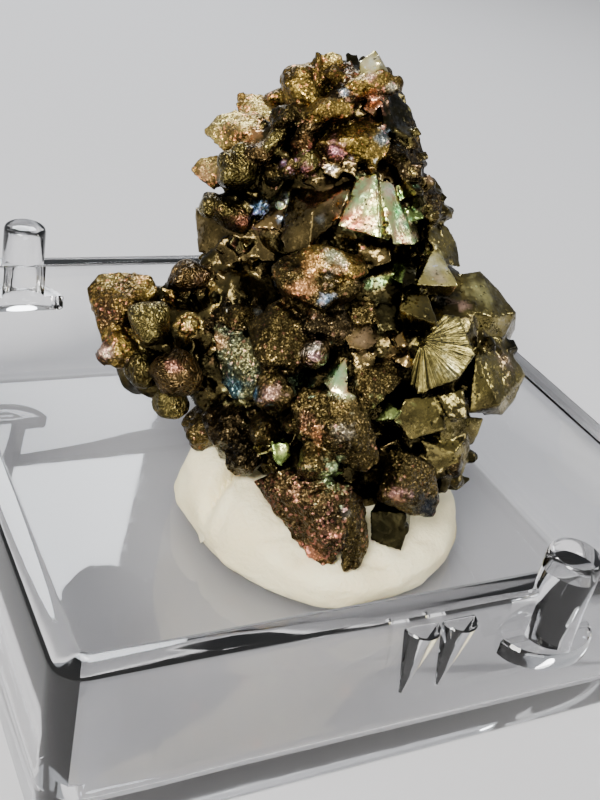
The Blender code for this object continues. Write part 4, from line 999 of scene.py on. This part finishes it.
def hollow_share(tree, point, normal, reach=1.6, rays=8):
    """How much of the sky over a point is closed off by the group itself, 0 to 1."""
    side = normal.orthogonal().normalized()
    other = normal.cross(side)
    start = point + normal * 0.03
    struck = 0.0
    for index in range(rays):
        angle = index * GOLDEN_ANGLE
        rise = math.sqrt((index + 0.5) / rays)
        flat = math.sqrt(1.0 - rise * rise)
        way = normal * rise + (side * math.cos(angle) + other * math.sin(angle)) * flat
        hit = tree.ray_cast(start, way, reach)
        if hit[0] is not None:
            struck += 1.0 - 0.6 * hit[3] / reach
    return struck / rays


def finder_of(places):
    """A search tree that finds the nearest of some places."""
    finder = KDTree(len(places))
    for index, place in enumerate(places):
        finder.insert(place, index)
    finder.balance()
    return finder


def landed_patches(tree):
    """Each patch where it falls on the group's front: place, radius, colour, strength."""
    landed = []
    for _, across, up, radius, colour, strength in PATCHES:
        hit = tree.ray_cast(EYE, (seen(across, up, 0.0) - EYE).normalized())
        if hit[0] is not None:
            landed.append((hit[0], radius, Vector(colour), strength))
    return landed


def paint_group(obj, sources):
    """Write each point's colour, with its tarnish patches, painted highlights and painted shade, and its
    roughness, and give each face the material of its kind.
    """
    mesh = obj.data
    points = [v.co / MM for v in mesh.vertices]
    normals = [Vector(n.vector) for n in mesh.vertex_normals]
    finder = finder_of([place for place, _ in sources])
    tree = BVHTree.FromPolygons(points, [p.vertices for p in mesh.polygons], epsilon=0)
    patches = landed_patches(tree)
    patch_finder = finder_of([patch[0] for patch in patches])
    shaded_tints = np.ones((len(points), 4), np.float32)
    rough = np.zeros(len(points), np.float32)
    copper = np.zeros(len(points), np.float32)
    kinds = []
    for index, (point, normal) in enumerate(zip(points, normals)):
        name = sources[finder.find(point)[1]][1]
        first, second, kind, roughness, pink = FINISHES[finish_of(name)]
        kinds.append(kind)
        blend = min(1.0, max(0.0, 0.5 + 1.3 * noise.noise(point * 0.8)))
        shaded_tint = Vector(first) * (1.0 - blend) + Vector(second) * blend
        for _, which, gap in patch_finder.find_range(point, PATCH_REACH):
            _, radius, colour, strength = patches[which]
            ragged = gap * (1.0 + 0.8 * noise.noise(point * 2.6) + 0.7 * noise.noise(point * 7.0))
            share = strength * math.exp(-abs(ragged / radius) ** 4)
            shaded_tint = shaded_tint * (1.0 - share) + colour * share
        # Painted shade: the colour is darkened where the group closes over a point and where a face turns
        # downward
        hollow = hollow_share(tree, point, normal)
        under = max(0.0, -normal.z)
        shaded_tint *= max(LEAST_SHARE, 1.0 - HOLLOW_SHADE * hollow) * (1.0 - UNDER_SHADE * under)
        shaded_tints[index, :3] = [TINT_GAIN * max(0.0, part) ** TINT_CONTRAST for part in shaded_tint]
        rough[index] = roughness + 0.1 * noise.noise(point * 1.9)
        copper[index] = pink * (1.0 + 0.8 * noise.noise(point * 1.4))
    layer = mesh.color_attributes.new("shaded_tint", "FLOAT_COLOR", "POINT")
    layer.data.foreach_set("color", shaded_tints.ravel())
    for key, values in (("matt", rough), ("copper", copper)):
        mesh.attributes.new(key, "FLOAT", "POINT").data.foreach_set("value", values)
    order = list(GROUP_MATERIALS)
    slots = [order.index(kinds[p.vertices[0]]) for p in mesh.polygons]
    mesh.polygons.foreach_set("material_index", slots)


def give_materials(obj, *materials):
    """Give a piece these materials and no others."""
    obj.data.materials.clear()
    for material in materials:
        obj.data.materials.append(material)


def shade_rounded(obj, crisp):
    """Shade a piece as rounded, except at edges sharper than an angle in degrees."""
    obj.data.shade_smooth()
    obj.data.set_sharp_from_angle(angle=math.radians(crisp))


class NodeDesk:
    """A short way to lay and link a material's nodes."""

    def __init__(self, name):
        self.material = bpy.data.materials.new(name)
        self.material.use_nodes = True
        self.tree = self.material.node_tree
        self.shader = self.tree.nodes["Principled BSDF"]
        self.column = -200

    def node(self, kind, **settings):
        made = self.tree.nodes.new(kind)
        self.column -= 180
        made.location = (self.column, 100)
        for key, value in settings.items():
            setattr(made, key, value)
        return made

    def link(self, out, into):
        self.tree.links.new(out, into)

    def math(self, operation, first, second=0.5, clamp=False):
        made = self.node("ShaderNodeMath", operation=operation, use_clamp=clamp)
        for socket, value in zip(made.inputs, (first, second)):
            if isinstance(value, (int, float)):
                socket.default_value = value
            else:
                self.link(value, socket)
        return made.outputs[0]

    def dot(self, vector, fixed):
        made = self.node("ShaderNodeVectorMath", operation="DOT_PRODUCT")
        self.link(vector, made.inputs[0])
        made.inputs[1].default_value = fixed
        return made.outputs["Value"]

    def vector(self, operation, *values):
        made = self.node("ShaderNodeVectorMath", operation=operation)
        for socket, value in zip(made.inputs, values):
            if isinstance(value, (tuple, list)):
                socket.default_value = value
            else:
                self.link(value, socket)
        return made.outputs[0]

    def scaled(self, vector, factor):
        made = self.node("ShaderNodeVectorMath", operation="SCALE")
        self.link(vector, made.inputs[0])
        if isinstance(factor, (int, float)):
            made.inputs["Scale"].default_value = factor
        else:
            self.link(factor, made.inputs["Scale"])
        return made.outputs[0]

    def mix(self, factor, first, second, blend="MIX"):
        made = self.node("ShaderNodeMix", data_type="RGBA", blend_type=blend)
        for socket, value in ((made.inputs[0], factor), (made.inputs[6], first), (made.inputs[7], second)):
            if isinstance(value, (int, float)):
                socket.default_value = value
            elif isinstance(value, (tuple, list)):
                socket.default_value = (*value, 1.0)
            else:
                self.link(value, socket)
        return made.outputs[2]

    def range(self, value, low, high, to_low=0.0, to_high=1.0):
        made = self.node("ShaderNodeMapRange", clamp=True)
        self.link(value, made.inputs[0])
        for index, number in enumerate((low, high, to_low, to_high)):
            made.inputs[index + 1].default_value = number
        return made.outputs[0]

    def millimetres(self):
        place = self.node("ShaderNodeTexCoord")
        return self.scaled(place.outputs["Object"], 1000.0)

    def cells(self, place, per_mm):
        made = self.node("ShaderNodeTexVoronoi", feature="F1")
        self.link(place, made.inputs["Vector"])
        made.inputs["Scale"].default_value = per_mm
        return made

    def noise(self, place, per_mm, detail=2.0):
        made = self.node("ShaderNodeTexNoise")
        self.link(place, made.inputs["Vector"])
        made.inputs["Scale"].default_value = per_mm
        made.inputs["Detail"].default_value = detail
        return made

    def attribute(self, name):
        return self.node("ShaderNodeAttribute", attribute_name=name)

    def bump(self, height, strength, distance, normal=None):
        made = self.node("ShaderNodeBump")
        made.inputs["Strength"].default_value = strength
        made.inputs["Distance"].default_value = distance
        self.link(height, made.inputs["Height"])
        if normal is not None:
            self.link(normal, made.inputs["Normal"])
        return made.outputs["Normal"]

    def tilted_normal(self, parts):
        """The surface normal, tipped at random in each cell: (cell colour, strength) pairs."""
        facing = self.node("ShaderNodeNewGeometry").outputs["Normal"]
        for colour, strength in parts:
            tip = self.scaled(self.vector("SUBTRACT", colour, (0.5, 0.5, 0.5)), strength)
            facing = self.vector("ADD", facing, tip)
        made = self.node("ShaderNodeVectorMath", operation="NORMALIZE")
        self.link(facing, made.inputs[0])
        return made.outputs[0]

    def random_of(self, colour):
        made = self.node("ShaderNodeSeparateColor")
        self.link(colour, made.inputs[0])
        return made.outputs

    def metal(self, colour, normal):
        """Finish a metal whose roughness the mesh carries."""
        self.link(colour, self.shader.inputs["Base Color"])
        self.link(self.attribute("matt").outputs["Fac"], self.shader.inputs["Roughness"])
        self.shader.inputs["Metallic"].default_value = 1.0
        self.link(normal, self.shader.inputs["Normal"])
        return self.material


def granular_bronze(settings):
    """Sugary metal of small tilted grains, some of them gold grains painted brighter as glints and some
    copper-pink.
    """
    desk = NodeDesk("granular_bronze")
    place = desk.millimetres()
    coarse = desk.cells(place, settings.grains_per_mm)
    fine = desk.cells(place, settings.grains_per_mm * 2.3)
    shaded_tint = desk.attribute("shaded_tint").outputs["Color"]
    coarse_random = desk.random_of(coarse.outputs["Color"])
    fine_random = desk.random_of(fine.outputs["Color"])
    bright = desk.range(coarse_random[0], 0.0, 1.0, 0.65, 1.3)
    brighter = desk.range(fine_random[1], 0.0, 1.0, 0.78, 1.22)
    level = desk.math("MULTIPLY", bright, brighter)
    shaded = desk.scaled(shaded_tint, level)
    # Painted glints: about one fine grain in ten is painted much brighter gold
    gold = desk.vector("MULTIPLY_ADD", shaded_tint, tuple(settings.gold_glint), (0.07, 0.052, 0.025))
    pink = desk.vector("MULTIPLY_ADD", shaded_tint, tuple(settings.pink_speck), (0.05, 0.026, 0.024))
    coloured = desk.mix(desk.range(fine_random[2], 0.88, 0.92), shaded, gold)
    copper = desk.math("MULTIPLY", desk.attribute("copper").outputs["Fac"], 0.24)
    chosen = desk.range(desk.math("ADD", coarse_random[2], copper), 1.0, 1.03)
    coloured = desk.mix(chosen, coloured, pink)
    tipped = desk.tilted_normal(((coarse.outputs["Color"], 0.42), (fine.outputs["Color"], 0.5)))
    return desk.metal(coloured, desk.bump(coarse.outputs["Distance"], 0.35, 0.00006, tipped))


def ridged_bronze(settings):
    """Fine worm-like ridges, as contour lines of a slow noise, with their light and shade painted into the
    colour.
    """
    desk = NodeDesk("ridged_bronze")
    place = desk.millimetres()
    swirl = desk.noise(place, 0.75, 3.0).outputs["Fac"]
    ridge = desk.math("SINE", desk.math("MULTIPLY", swirl, settings.ridge_count))
    fine = desk.cells(place, settings.grains_per_mm * 1.8)
    shaded_tint = desk.attribute("shaded_tint").outputs["Color"]
    # Painted light and shade: the colour is lighter on the ridge crests and darker in the troughs
    lit = desk.scaled(shaded_tint, desk.range(ridge, -1.0, 1.0, 0.5, 1.5))
    tipped = desk.tilted_normal(((fine.outputs["Color"], 0.45),))
    return desk.metal(lit, desk.bump(ridge, 0.6, 0.00003, tipped))


def striated_facet(settings):
    """Flat metal faces with faint growth lines, patches of tarnish, small dark spots painted as the shade in
    pits, and painted glints.
    """
    desk = NodeDesk("striated_facet")
    place = desk.millimetres()
    shaded_tint = desk.attribute("shaded_tint").outputs["Color"]
    patch = desk.noise(place, 1.3, 4.0).outputs["Fac"]
    level = desk.range(patch, 0.3, 0.7, 0.7, 1.35)
    shaded = desk.scaled(shaded_tint, level)
    fine = desk.cells(place, 9.0)
    fine_random = desk.random_of(fine.outputs["Color"])
    # Painted shade: small dark spots, as the shade inside pits
    pit_shade_noise = desk.noise(place, 4.5, 6.0).outputs["Fac"]
    pits = desk.range(pit_shade_noise, 0.62, 0.68)
    pitted = desk.mix(pits, shaded, desk.scaled(shaded_tint, 0.3))
    # Painted glints: a few fine cells painted over twice as bright
    glint = desk.range(fine_random[0], 0.975, 0.985)
    pitted = desk.mix(glint, pitted, desk.scaled(shaded_tint, 2.2))
    wave = desk.node("ShaderNodeTexWave", wave_type="BANDS", bands_direction="DIAGONAL")
    desk.link(place, wave.inputs["Vector"])
    wave.inputs["Scale"].default_value = 0.7
    wave.inputs["Distortion"].default_value = 5.0
    wave.inputs["Detail"].default_value = 3.0
    tipped = desk.tilted_normal(((fine.outputs["Color"], 0.2),))
    return desk.metal(pitted, desk.bump(wave.outputs["Fac"], 0.1, 0.00004, tipped))


def cracked_fan(settings):
    """A face with lines that spread from one corner, painted dark in its cracks and bright on its ridges as
    their shade and light.
    """
    desk = NodeDesk("cracked_fan")
    place = desk.millimetres()
    shaded_tint = desk.attribute("shaded_tint").outputs["Color"]
    offset = desk.vector("SUBTRACT", place, tuple(seen(*FAN_CORNER)))
    run = desk.dot(offset, RIGHT)
    angle = desk.math("ARCTAN2", desk.dot(offset, UP), run)
    spread = desk.node("ShaderNodeCombineXYZ")
    desk.link(desk.math("MULTIPLY", angle, 9.0), spread.inputs[0])
    desk.link(desk.math("MULTIPLY", run, 0.35), spread.inputs[1])
    rays = desk.noise(spread.outputs[0], 1.0, 3.0).outputs["Fac"]
    grit = desk.noise(place, 6.0, 4.0).outputs["Fac"]
    # Painted light and shade: the colour runs from dark in the cracks to bright on the ridges
    bright = desk.range(rays, 0.36, 0.66, 0.12, 1.7)
    level = desk.math("MULTIPLY", bright, desk.range(grit, 0.3, 0.6, 0.5, 1.1))
    return desk.metal(desk.scaled(shaded_tint, level), desk.bump(rays, 0.8, 0.0002))


def iridescent_facet(settings):
    """Bright faces with thin tarnish colours and black spots painted as the shade in pits."""
    desk = NodeDesk("iridescent_facet")
    place = desk.millimetres()
    shaded_tint = desk.attribute("shaded_tint").outputs["Color"]
    cloud = desk.noise(place, 2.2, 5.0)
    ramp = desk.node("ShaderNodeValToRGB")
    desk.link(cloud.outputs["Fac"], ramp.inputs[0])
    stops = ramp.color_ramp.elements
    stops[0].position = 0.34
    stops[0].color = (0.66, 1.0, 0.74, 1.0)
    stops[1].position = 0.66
    stops[1].color = (1.0, 0.70, 0.74, 1.0)
    middle = stops.new(0.5)
    middle.color = (1.0, 1.0, 0.94, 1.0)
    tinted = desk.mix(1.0, shaded_tint, ramp.outputs[0], "MULTIPLY")
    # Painted shade: black spots, as the shade inside pits
    cells = desk.cells(place, 3.4)
    near = desk.range(cells.outputs["Distance"], 0.16, 0.22, 1.0, 0.0)
    chosen = desk.range(desk.random_of(cells.outputs["Color"])[0], 0.55, 0.6)
    pits = desk.math("MULTIPLY", near, chosen)
    pitted = desk.mix(pits, tinted, (0.035, 0.028, 0.015))
    fine = desk.cells(place, 11.0)
    tipped = desk.tilted_normal(((fine.outputs["Color"], 0.12),))
    return desk.metal(pitted, desk.bump(cloud.outputs["Fac"], 0.15, 0.00004, tipped))


# The group's materials, each under the kind of relief that it goes with
GROUP_MATERIALS = {"grain": granular_bronze, "worm": ridged_bronze, "facet": striated_facet,
                   "rainbow": iridescent_facet, "fan": cracked_fan}


def putty(settings):
    """Matt, slightly greasy putty with fine wrinkles and a few specks of dust."""
    desk = NodeDesk("cream_putty")
    place = desk.millimetres()
    broad = desk.noise(place, 0.35, 3.0).outputs["Fac"]
    light = tuple(settings.colour)
    shade = tuple(c * f for c, f in zip(light, (0.90, 0.88, 0.82)))
    base = desk.mix(desk.range(broad, 0.35, 0.65), light, shade)
    dust = desk.cells(place, 5.0)
    speck = desk.math("MULTIPLY", desk.range(dust.outputs["Distance"], 0.08, 0.13, 1.0, 0.0),
                      desk.range(desk.random_of(dust.outputs["Color"])[0], 0.93, 0.94))
    desk.link(desk.mix(speck, base, tuple(c * 0.6 for c in light)), desk.shader.inputs["Base Color"])
    desk.shader.inputs["Roughness"].default_value = 0.72
    desk.shader.inputs["Specular IOR Level"].default_value = 0.35
    desk.shader.inputs["Subsurface Weight"].default_value = 0.25
    desk.shader.inputs["Subsurface Radius"].default_value = (1.0, 0.8, 0.5)
    desk.shader.inputs["Subsurface Scale"].default_value = 0.0006
    fine = desk.noise(place, 5.0, 5.0).outputs["Fac"]
    desk.link(desk.bump(fine, 0.5, 0.00015), desk.shader.inputs["Normal"])
    return desk.material


def clear_plastic(settings):
    """Clear plastic with a faint wear."""
    desk = NodeDesk("clear_plastic")
    place = desk.millimetres()
    desk.shader.inputs["Base Color"].default_value = (*settings.colour, 1.0)
    desk.shader.inputs["Transmission Weight"].default_value = 1.0
    desk.shader.inputs["IOR"].default_value = settings.ior
    wear = desk.noise(place, 1.2, 6.0).outputs["Fac"]
    desk.link(desk.range(wear, 0.4, 0.75, 0.01, 0.07), desk.shader.inputs["Roughness"])
    desk.link(desk.bump(desk.noise(place, 0.25, 2.0).outputs["Fac"], 0.1, 0.00004),
              desk.shader.inputs["Normal"])
    return desk.material


def around(values, angle):
    """A smooth value at an angle, from values at even steps round the circle."""
    place = (angle / (2.0 * math.pi)) % 1.0 * len(values)
    low = int(place)
    blend = (1.0 - math.cos((place - low) * math.pi)) / 2.0
    return values[low % len(values)] * (1.0 - blend) + values[(low + 1) % len(values)] * blend


def crease_share(place, start, end, width):
    """How near a place is to a crease between two points, 0 to 1."""
    start = Vector(start)
    run = Vector(end) - start
    along = max(0.0, min(1.0, (place - start).dot(run) / run.length_squared))
    off = (place - start - run * along).length
    return math.exp(-(off / width) ** 2)


def putty_point(way):
    """Where a unit direction meets the putty's skin, in millimetres from its centre."""
    angle = math.atan2(way.y, way.x)
    flat = math.hypot(way.x, way.y)
    reach = around(TACK_RADII, angle) * flat ** TACK_FULLNESS
    rim = min(1.0, flat * 1.4)
    crown = (around(TACK_HEIGHTS, angle) - TACK_BELLY) * rim + TACK_MIDDLE * (1.0 - rim)
    swell = crown if way.z > 0 else TACK_BELLY * 1.6
    rise = TACK_BELLY + swell * math.copysign(abs(way.z) ** 0.8, way.z)
    x = math.cos(angle) * reach
    y = math.sin(angle) * reach
    place = Vector((x + TACK_CENTRE[0], y + TACK_CENTRE[1]))
    if way.z > 0:
        for start, end, depth, width in TACK_CREASES:
            rise -= depth * crease_share(place, start, end, width)
    return Vector((x, y, max(rise, TACK_CLEARANCE)))


def putty_lump():
    """The whole lump of putty, before the group is pressed into it."""
    bm = bmesh.new()
    bmesh.ops.create_icosphere(bm, subdivisions=6, radius=1.0)
    base = Vector((TACK_CENTRE[0], TACK_CENTRE[1], TRAY_FLOOR))
    for vert in bm.verts:
        way = vert.co.normalized()
        dent = 1.0 + 0.025 * noise.noise(way * 2.3)
        place = putty_point(way)
        vert.co = base + Vector((place.x * dent, place.y * dent, place.z))
    bm.normal_update()
    for vert in bm.verts:
        if vert.co.z > TRAY_FLOOR + TACK_ROUGH_ABOVE:
            broad = 0.1 * noise.noise(vert.co * 0.9)
            fine = 0.03 * noise.noise(vert.co * 3.2)
            vert.co += vert.normal * (broad + fine)
    return bm


def tray_ring(bm, inset, z, segments=7):
    """A square ring of points with rounded corners."""
    half = TRAY_WIDTH / 2 - inset
    radius = max(TRAY_CORNER + SOFT_CORNER - inset, LEAST_CORNER)
    ring = []
    for corner in range(4):
        turn = corner * math.pi / 2
        for step in range(segments + 1):
            angle = turn + step / segments * math.pi / 2
            cx = (half - radius) * (1 if corner in (0, 3) else -1)
            cy = (half - radius) * (1 if corner in (0, 1) else -1)
            ring.append(bm.verts.new((cx + radius * math.cos(angle), cy + radius * math.sin(angle), z)))
    return ring


def tray_shell():
    """The tray's floor and wall, every edge rounded a little."""
    rim, wall, floor = TRAY_RIM, TRAY_WALL, TRAY_FLOOR
    profile = [(0.32, 0.0), (0.1, 0.09), (0.0, 0.32), (0.0, rim - 0.22), (0.06, rim - 0.06),
               (0.22, rim), (wall - 0.2, rim), (wall - 0.05, rim - 0.05), (wall, rim - 0.2),
               (wall, floor + 0.55), (wall + 0.12, floor + 0.2), (wall + 0.34, floor + 0.06),
               (wall + 0.6, floor)]
    bm = bmesh.new()
    rings = [tray_ring(bm, inset, z) for inset, z in profile]
    for low, high in zip(rings, rings[1:]):
        for i in range(len(low)):
            j = (i + 1) % len(low)
            bm.faces.new((low[i], low[j], high[j], high[i]))
    bm.faces.new(list(reversed(rings[0])))
    bm.faces.new(rings[-1])
    return bm


def turned(x, y, profile, segments=48, stretch=(1.0, 1.0)):
    """A turned solid from (radius, height) pairs, closed at both ends."""
    bm = bmesh.new()
    rings = []
    for radius, z in profile:
        rings.append([bm.verts.new((x + math.cos(i * 2 * math.pi / segments) * radius * stretch[0],
                                    y + math.sin(i * 2 * math.pi / segments) * radius * stretch[1], z))
                      for i in range(segments)])
    for low, high in zip(rings, rings[1:]):
        for i in range(segments):
            j = (i + 1) % segments
            bm.faces.new((low[i], low[j], high[j], high[i]))
    bm.faces.new(list(reversed(rings[0])))
    bm.faces.new(rings[-1])
    return bm


def tray_fittings():
    """The two stop posts on their shelves, and the two tapered ribs, outside the wall."""
    half = TRAY_WIDTH / 2
    made = []
    for side, x in ((-1, FRONT_POST_X), (1, BACK_POST_X)):
        y = side * half
        r, top = POST_RADIUS, POST_TOP
        made.append(turned(x, y, [(r, SHELF_BOTTOM + 0.2), (r * 0.96, top - 0.25),
                                  (r * 0.9, top - 0.08), (r * 0.78, top)]))
        made.append(turned(x, y - side * SHELF_SINK,
                           [(SHELF_HALF_WIDTH - SHELF_EDGE, SHELF_BOTTOM),
                            (SHELF_HALF_WIDTH, SHELF_BOTTOM + SHELF_EDGE),
                            (SHELF_HALF_WIDTH, SHELF_TOP - SHELF_EDGE),
                            (SHELF_HALF_WIDTH - SHELF_EDGE, SHELF_TOP)],
                           stretch=(1.0, (SHELF_DEPTH + SHELF_SINK) / SHELF_HALF_WIDTH)))
    top = TRAY_RIM - RIB_DROP
    for x in RIB_X:
        made.append(turned(x, -half, [(RIB_TIP, top - RIB_LENGTH), (RIB_RADIUS, top - 0.06),
                                      (RIB_RADIUS - 0.06, top)], segments=32))
    return made


def cavity_block():
    """The space inside the tray's wall, which the shelves don't reach into."""
    inner = TRAY_WIDTH / 2 - TRAY_WALL
    bm = bmesh.new()
    bmesh.ops.create_cube(bm, size=1.0)
    for vert in bm.verts:
        vert.co = Vector((vert.co.x * 2 * inner, vert.co.y * 2 * inner,
                          CAVITY_BOTTOM + (vert.co.z + 0.5) * CAVITY_HEIGHT))
    return bm


def area_light(name, location, size, power, colour):
    """A soft round light that faces the specimen."""
    lamp = bpy.data.lights.new(name, "AREA")
    lamp.shape = "DISK"
    lamp.size = size
    lamp.energy = power
    lamp.color = colour
    obj = bpy.data.objects.new(name, lamp)
    bpy.context.scene.collection.objects.link(obj)
    obj.location = location
    obj.rotation_euler = (Vector(LIT_PLACE) - Vector(location)).to_track_quat("-Z", "Y").to_euler()


def lay_floor(colour):
    """The pale floor, a hair below the tray so that the two never share a plane."""
    bm = bmesh.new()
    bmesh.ops.create_grid(bm, x_segments=1, y_segments=1, size=FLOOR_HALF)
    floor = new_object("floor", bm)
    floor.location.z = -FLOOR_DROP
    desk = NodeDesk("floor_paper")
    desk.shader.inputs["Base Color"].default_value = (*colour, 1.0)
    desk.shader.inputs["Roughness"].default_value = 0.9
    floor.data.materials.append(desk.material)


def light_room(strength):
    """Soft light from all round, brightest from above on the left."""
    world = bpy.data.worlds.new("room")
    world.use_nodes = True
    tree = world.node_tree
    back = tree.nodes["Background"]
    back.inputs["Strength"].default_value = strength
    place = tree.nodes.new("ShaderNodeTexCoord")
    turned_to = tree.nodes.new("ShaderNodeVectorMath")
    turned_to.operation = "DOT_PRODUCT"
    turned_to.inputs[1].default_value = Vector(ROOM_LIGHT_FROM).normalized()
    tree.links.new(place.outputs["Generated"], turned_to.inputs[0])
    shades = tree.nodes.new("ShaderNodeValToRGB")
    stops = shades.color_ramp.elements
    stops[0].position = 0.0
    stops[0].color = (0.46, 0.48, 0.51, 1.0)
    stops[1].position = 0.9
    stops[1].color = (1.0, 0.99, 0.97, 1.0)
    tree.links.new(turned_to.outputs["Value"], shades.inputs[0])
    tree.links.new(shades.outputs[0], back.inputs["Color"])
    bpy.context.scene.world = world


def place_camera():
    """The camera at the place that the group is measured from."""
    lens = bpy.data.cameras.new("camera")
    lens.lens = CAMERA_LENS
    lens.sensor_width = CAMERA_SENSOR
    lens.clip_start = 0.001
    lens.clip_end = 10.0
    camera = bpy.data.objects.new("camera", lens)
    bpy.context.scene.collection.objects.link(camera)
    turn = Matrix((RIGHT, UP, -FORWARD)).transposed().to_4x4()
    turn.translation = EYE * MM
    camera.matrix_world = turn
    bpy.context.scene.camera = camera


class GroupSettings(bpy.types.PropertyGroup):
    grains_per_mm: bpy.props.FloatProperty(
        name="Grains per Millimetre", description="How many small grains fit in a millimetre",
        default=7.5, min=1.0, max=20.0)
    ridge_count: bpy.props.FloatProperty(
        name="Ridge Count", description="How closely the worm-like ridges lie", default=110.0, min=5.0,
        max=400.0)
    # Painted glints: how much brighter the gold grains are painted
    gold_glint: bpy.props.FloatVectorProperty(
        name="Gold Speck", description="How much brighter the gold specks are, in red, green and blue",
        size=3, default=(2.6, 2.4, 2.0), min=0.0, max=6.0)
    pink_speck: bpy.props.FloatVectorProperty(
        name="Pink Speck", description="How much brighter the copper-pink specks are, in red, green and blue",
        size=3, default=(3.4, 2.1, 2.3), min=0.0, max=6.0)


class PuttySettings(bpy.types.PropertyGroup):
    colour: bpy.props.FloatVectorProperty(
        name="Colour", description="Colour of the putty", subtype="COLOR", size=3,
        default=(0.97, 0.88, 0.58), min=0.0, max=1.0)


class TraySettings(bpy.types.PropertyGroup):
    colour: bpy.props.FloatVectorProperty(
        name="Colour", description="Colour of light that passes through the plastic", subtype="COLOR",
        size=3, default=(0.97, 0.97, 0.98), min=0.0, max=1.0)
    ior: bpy.props.FloatProperty(
        name="Refraction", description="Index of refraction of the plastic", default=1.54, min=1.0, max=2.0)


class StageSettings(bpy.types.PropertyGroup):
    floor_colour: bpy.props.FloatVectorProperty(
        name="Floor Colour", description="Colour of the pale floor", subtype="COLOR", size=3,
        default=(0.56, 0.56, 0.58), min=0.0, max=1.0)
    key_power: bpy.props.FloatProperty(
        name="Key Light", description="Power of the main light", default=0.85, min=0.0, max=20.0,
        unit="POWER")
    sky: bpy.props.FloatProperty(
        name="Room Light", description="Strength of the light from all round", default=0.8,
        min=0.0, max=5.0)


class SPECIMEN_OT_crystal_group(bpy.types.Operator):
    """Build the fused marcasite crystals"""
    bl_idname = "specimen.crystal_group"
    bl_label = "Crystal Group"

    def execute(self, context):
        shapes = group_shapes()
        small = studs(shapes, random.Random(STUD_SEED)) + druse(shapes, random.Random(DRUSE_SEED))
        shapes = [plain(name, bm) for name, bm in shapes] + small
        sources = [(corner, name) for name, corners, _ in shapes for corner in corners]
        group = grown_together("crystal_group", shapes)
        thin_out(group, GROUP_TRIANGLES)
        keep_outer_skin(group)
        group.data.transform(Matrix.Scale(MM, 4))
        settings = context.scene.specimen_group
        give_materials(group, *[make(settings) for make in GROUP_MATERIALS.values()])
        paint_group(group, sources)
        shade_rounded(group, GROUP_CRISP)
        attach(group, "root")
        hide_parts("marcasite")
        return {"FINISHED"}


class SPECIMEN_OT_mineral_tack(bpy.types.Operator):
    """Build the putty that the group is pressed into"""
    bl_idname = "specimen.mineral_tack"
    bl_label = "Mineral Tack"

    def execute(self, context):
        tack = new_object("mineral_putty", putty_lump())
        group = bpy.data.objects["crystal_group"]
        cutter = bpy.data.objects.new("imprint", group.data.copy())
        context.scene.collection.objects.link(cutter)
        fuse(tack, [cutter], "DIFFERENCE")
        keep_outer_skin(tack)
        give_materials(tack, putty(context.scene.specimen_putty))
        shade_rounded(tack, TACK_CRISP)
        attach(tack, "root")
        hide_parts("mineral_tack")
        return {"FINISHED"}


class SPECIMEN_OT_box_base(bpy.types.Operator):
    """Build the clear tray with its stop posts and ribs"""
    bl_idname = "specimen.box_base"
    bl_label = "Box Base"

    def execute(self, context):
        tray = new_object("clear_tray", tray_shell())
        fittings = [new_object("fitting", bm) for bm in tray_fittings()]
        fuse(tray, fittings)
        fuse(tray, [new_object("inside", cavity_block())], "DIFFERENCE")
        give_materials(tray, clear_plastic(context.scene.specimen_tray))
        shade_rounded(tray, TRAY_CRISP)
        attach(tray, "root")
        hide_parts("box_base")
        return {"FINISHED"}


class SPECIMEN_OT_stage(bpy.types.Operator):
    """Lay the pale floor, set the soft lights and place the camera"""
    bl_idname = "specimen.stage"
    bl_label = "Stage"

    def execute(self, context):
        settings = context.scene.specimen_stage
        lay_floor(settings.floor_colour)
        for name, location, size, share, colour in LIGHTS:
            area_light(name, location, size, settings.key_power * share, colour)
        light_room(settings.sky)
        place_camera()
        return {"FINISHED"}


class SPECIMEN_PT_panel(bpy.types.Panel):
    bl_label = "Specimen"
    bl_idname = "SPECIMEN_PT_panel"
    bl_space_type = "VIEW_3D"
    bl_region_type = "UI"
    bl_category = "Specimen"

    def draw(self, context):
        scene = context.scene
        for operator, settings in PANEL_ROWS:
            box = self.layout.box()
            box.operator(operator)
            group = getattr(scene, settings)
            for key in group.__annotations__:
                box.prop(group, key)


PANEL_ROWS = (
    ("specimen.stage", "specimen_stage"),
    ("specimen.crystal_group", "specimen_group"),
    ("specimen.mineral_tack", "specimen_putty"),
    ("specimen.box_base", "specimen_tray"),
)
CLASSES = (GroupSettings, PuttySettings, TraySettings, StageSettings, SPECIMEN_OT_crystal_group,
           SPECIMEN_OT_mineral_tack, SPECIMEN_OT_box_base, SPECIMEN_OT_stage, SPECIMEN_PT_panel)


def register():
    for cls in CLASSES:
        bpy.utils.register_class(cls)
    bpy.types.Scene.specimen_group = bpy.props.PointerProperty(type=GroupSettings)
    bpy.types.Scene.specimen_putty = bpy.props.PointerProperty(type=PuttySettings)
    bpy.types.Scene.specimen_tray = bpy.props.PointerProperty(type=TraySettings)
    bpy.types.Scene.specimen_stage = bpy.props.PointerProperty(type=StageSettings)


def unregister():
    del bpy.types.Scene.specimen_stage
    del bpy.types.Scene.specimen_tray
    del bpy.types.Scene.specimen_putty
    del bpy.types.Scene.specimen_group
    for cls in reversed(CLASSES):
        bpy.utils.unregister_class(cls)


def main():
    register()
    bpy.ops.specimen.stage()
    bpy.ops.specimen.crystal_group()
    bpy.ops.specimen.mineral_tack()
    bpy.ops.specimen.box_base()


if __name__ == "__main__":
    main()
